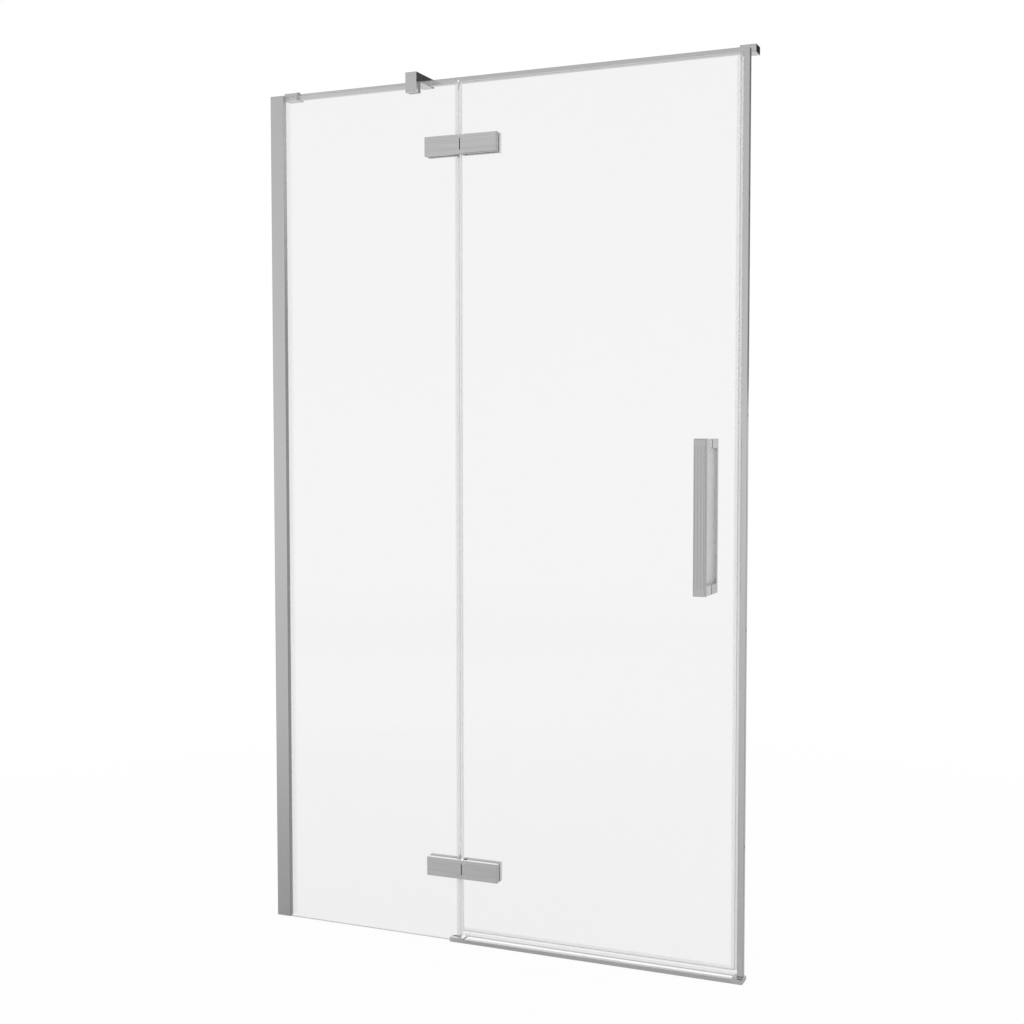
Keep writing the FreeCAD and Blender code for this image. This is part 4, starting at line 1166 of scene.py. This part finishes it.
@dataclass
class Studio:
    """Pale floor, white surroundings, soft lamps, dark cards and the camera."""

    ambient: float = 0.58
    sky_fall: float = 0.55
    floor: Sheet = Sheet("pale_floor", (-40.0, -40.0, -0.0002), (80.0, 0.0, 0.0), (0.0, 80.0, 0.0))
    floor_tone: Colour = grey(0.8)
    floor_scale: float = 3.0
    floor_spread: float = 0.02
    shadow_share: float = 0.035
    shadow_reach: float = 2.6
    shadow_power: float = 0.5
    mirror_share: float = 0.8
    mirror_reach: float = 8.0
    mirror_centre: Point = (-0.8, 0.0, 0.0)
    back_share: float = 0.32
    back_start: float = 3.0
    lamps: tuple[Softbox, ...] = (
        Softbox("front_softbox", (-2.6, -3.4, 2.6), (0.0, 0.0, 1.0), (2.4, 2.4), 60.0),
        Softbox("right_softbox", (3.2, -2.4, 2.2), (0.0, 0.0, 1.0), (2.0, 2.0), 30.0),
        Softbox("back_softbox", (-4.4, 8.0, 3.6), (-4.4, 0.0, 3.2), (7.6, 3.0), 109.0, mirrored=True))
    cards: tuple[Sheet, ...] = (
        Sheet("dark_card_right", (1.0, 8.0, 1.5), (1.95, 0.0, 0.0), (0.0, 0.0, 6.0)),
        Sheet("dark_card_middle", (3.4, 8.0, 3.8), (0.7, 0.0, 0.0), (0.0, 0.0, 2.2)))
    card_scale: float = 40.0
    card_low: float = 0.048
    card_high: float = 0.06
    focal: float = 51.34
    sensor: float = 36.0
    view_reach: float = 200.0
    eye: Point = (1.3475, -3.0595, 1.1890)
    right: Point = (0.91941, 0.39331, -0.00062)
    down: Point = (0.02016, -0.04871, -0.99861)
    forward: Point = (-0.39279, 0.91812, -0.05272)

    def build(self) -> None:
        """Set up world, floor, lamps, dark cards and camera."""
        bpy.context.scene.view_settings.view_transform = "Standard"
        self.make_world()
        self.make_floor()
        for lamp in self.lamps:
            lamp.build()
        self.make_cards()
        self.make_camera()

    def make_world(self) -> None:
        """White surroundings, full for the camera, darker overhead for mirrors and weaker as a light."""
        world = bpy.data.worlds.new("white_surroundings")
        world.use_nodes = True
        graph = Graph(world.node_tree)
        direct = graph.direct()
        mirror = graph.ray("Glossy") * (1 - direct)
        rise = graph.axis("Generated", "Z").most(0.0)
        strength = direct + mirror * (1 - rise * self.sky_fall) + (1 - direct.most(mirror)) * self.ambient
        sky = graph.add("ShaderNodeBackground", None, {"Color": OPAQUE_WHITE, "Strength": strength})
        graph.add("ShaderNodeOutputWorld", None, {"Surface": sky.outputs[0]})
        bpy.context.scene.world = world

    def make_floor(self) -> None:
        """A pale floor that shows white far off and keeps soft shadows close to the part.

        In mirrors it is darker round the part and far behind it.
        """
        material, graph = new_material("pale_floor")
        coords = graph.add("ShaderNodeTexCoord").outputs["Object"]
        reach = graph.number("ShaderNodeVectorMath", {"operation": "LENGTH"}, {0: coords}, "Value")
        near = (1 - reach / self.shadow_reach).most(0.0) ** self.shadow_power
        shown = graph.direct() * (1 - near * self.shadow_share)
        away = graph.number("ShaderNodeVectorMath", {"operation": "DISTANCE"}, {
            0: coords, 1: self.mirror_centre}, "Value")
        gloom = (1 - away / self.mirror_reach).most(0.0) * self.mirror_share
        behind = graph.axis("Object", "Y").above(self.back_start)
        white = shown.most(graph.ray("Glossy") * (1 - gloom.most(behind * self.back_share)))
        tone = graph.vary(graph.noise(self.floor_scale), self.floor_tone, self.floor_spread)
        matt = graph.add("ShaderNodeBsdfDiffuse", None, {"Color": tone})
        glow = graph.add("ShaderNodeEmission", None, {"Color": OPAQUE_WHITE, "Strength": 1.0})
        graph.end(graph.mix(white, matt.outputs[0], glow.outputs[0]))
        self.floor.build(material)

    def make_cards(self) -> None:
        """Dark cards far behind the part on the right, seen only in the bare metal that faces them."""
        material, graph = new_material("dark_card")
        tone = graph.blend(graph.noise(self.card_scale), grey(self.card_low), grey(self.card_high))
        dark = graph.add("ShaderNodeEmission", None, {"Color": tone, "Strength": 1.0})
        clear = graph.add("ShaderNodeBsdfTransparent")
        through = graph.ray("Transmission")
        graph.end(graph.mix(through, dark.outputs[0], clear.outputs[0]))
        for card in self.cards:
            thing = card.build(material)
            thing.visible_camera = False
            thing.visible_transmission = False
            thing.visible_diffuse = False
            thing.visible_shadow = False

    def make_camera(self) -> None:
        """The camera: its axes are the picture's right, up and backward directions."""
        data = bpy.data.cameras.new("camera")
        data.lens = self.focal
        data.sensor_width = self.sensor
        data.clip_end = self.view_reach
        camera = bpy.data.objects.new("camera", data)
        bpy.context.scene.collection.objects.link(camera)
        axes = np.stack([np.array(self.right), -np.array(self.down), -np.array(self.forward)], axis=1)
        camera.matrix_world = Matrix.Translation(Vector(self.eye)) @ Matrix(axes.tolist()).to_4x4()
        bpy.context.scene.camera = camera


def main() -> None:
    """Build the stage and every sub-assembly."""
    logging.basicConfig(level=logging.INFO, format="%(name)s: %(message)s")
    Studio().build()
    for assembly in (WallSide(), Panes(), Hinges(), Seals(), Strike(), Threshold(), Stabiliser(), Handle()):
        assembly.build()


if __name__ == "__main__":
    main()
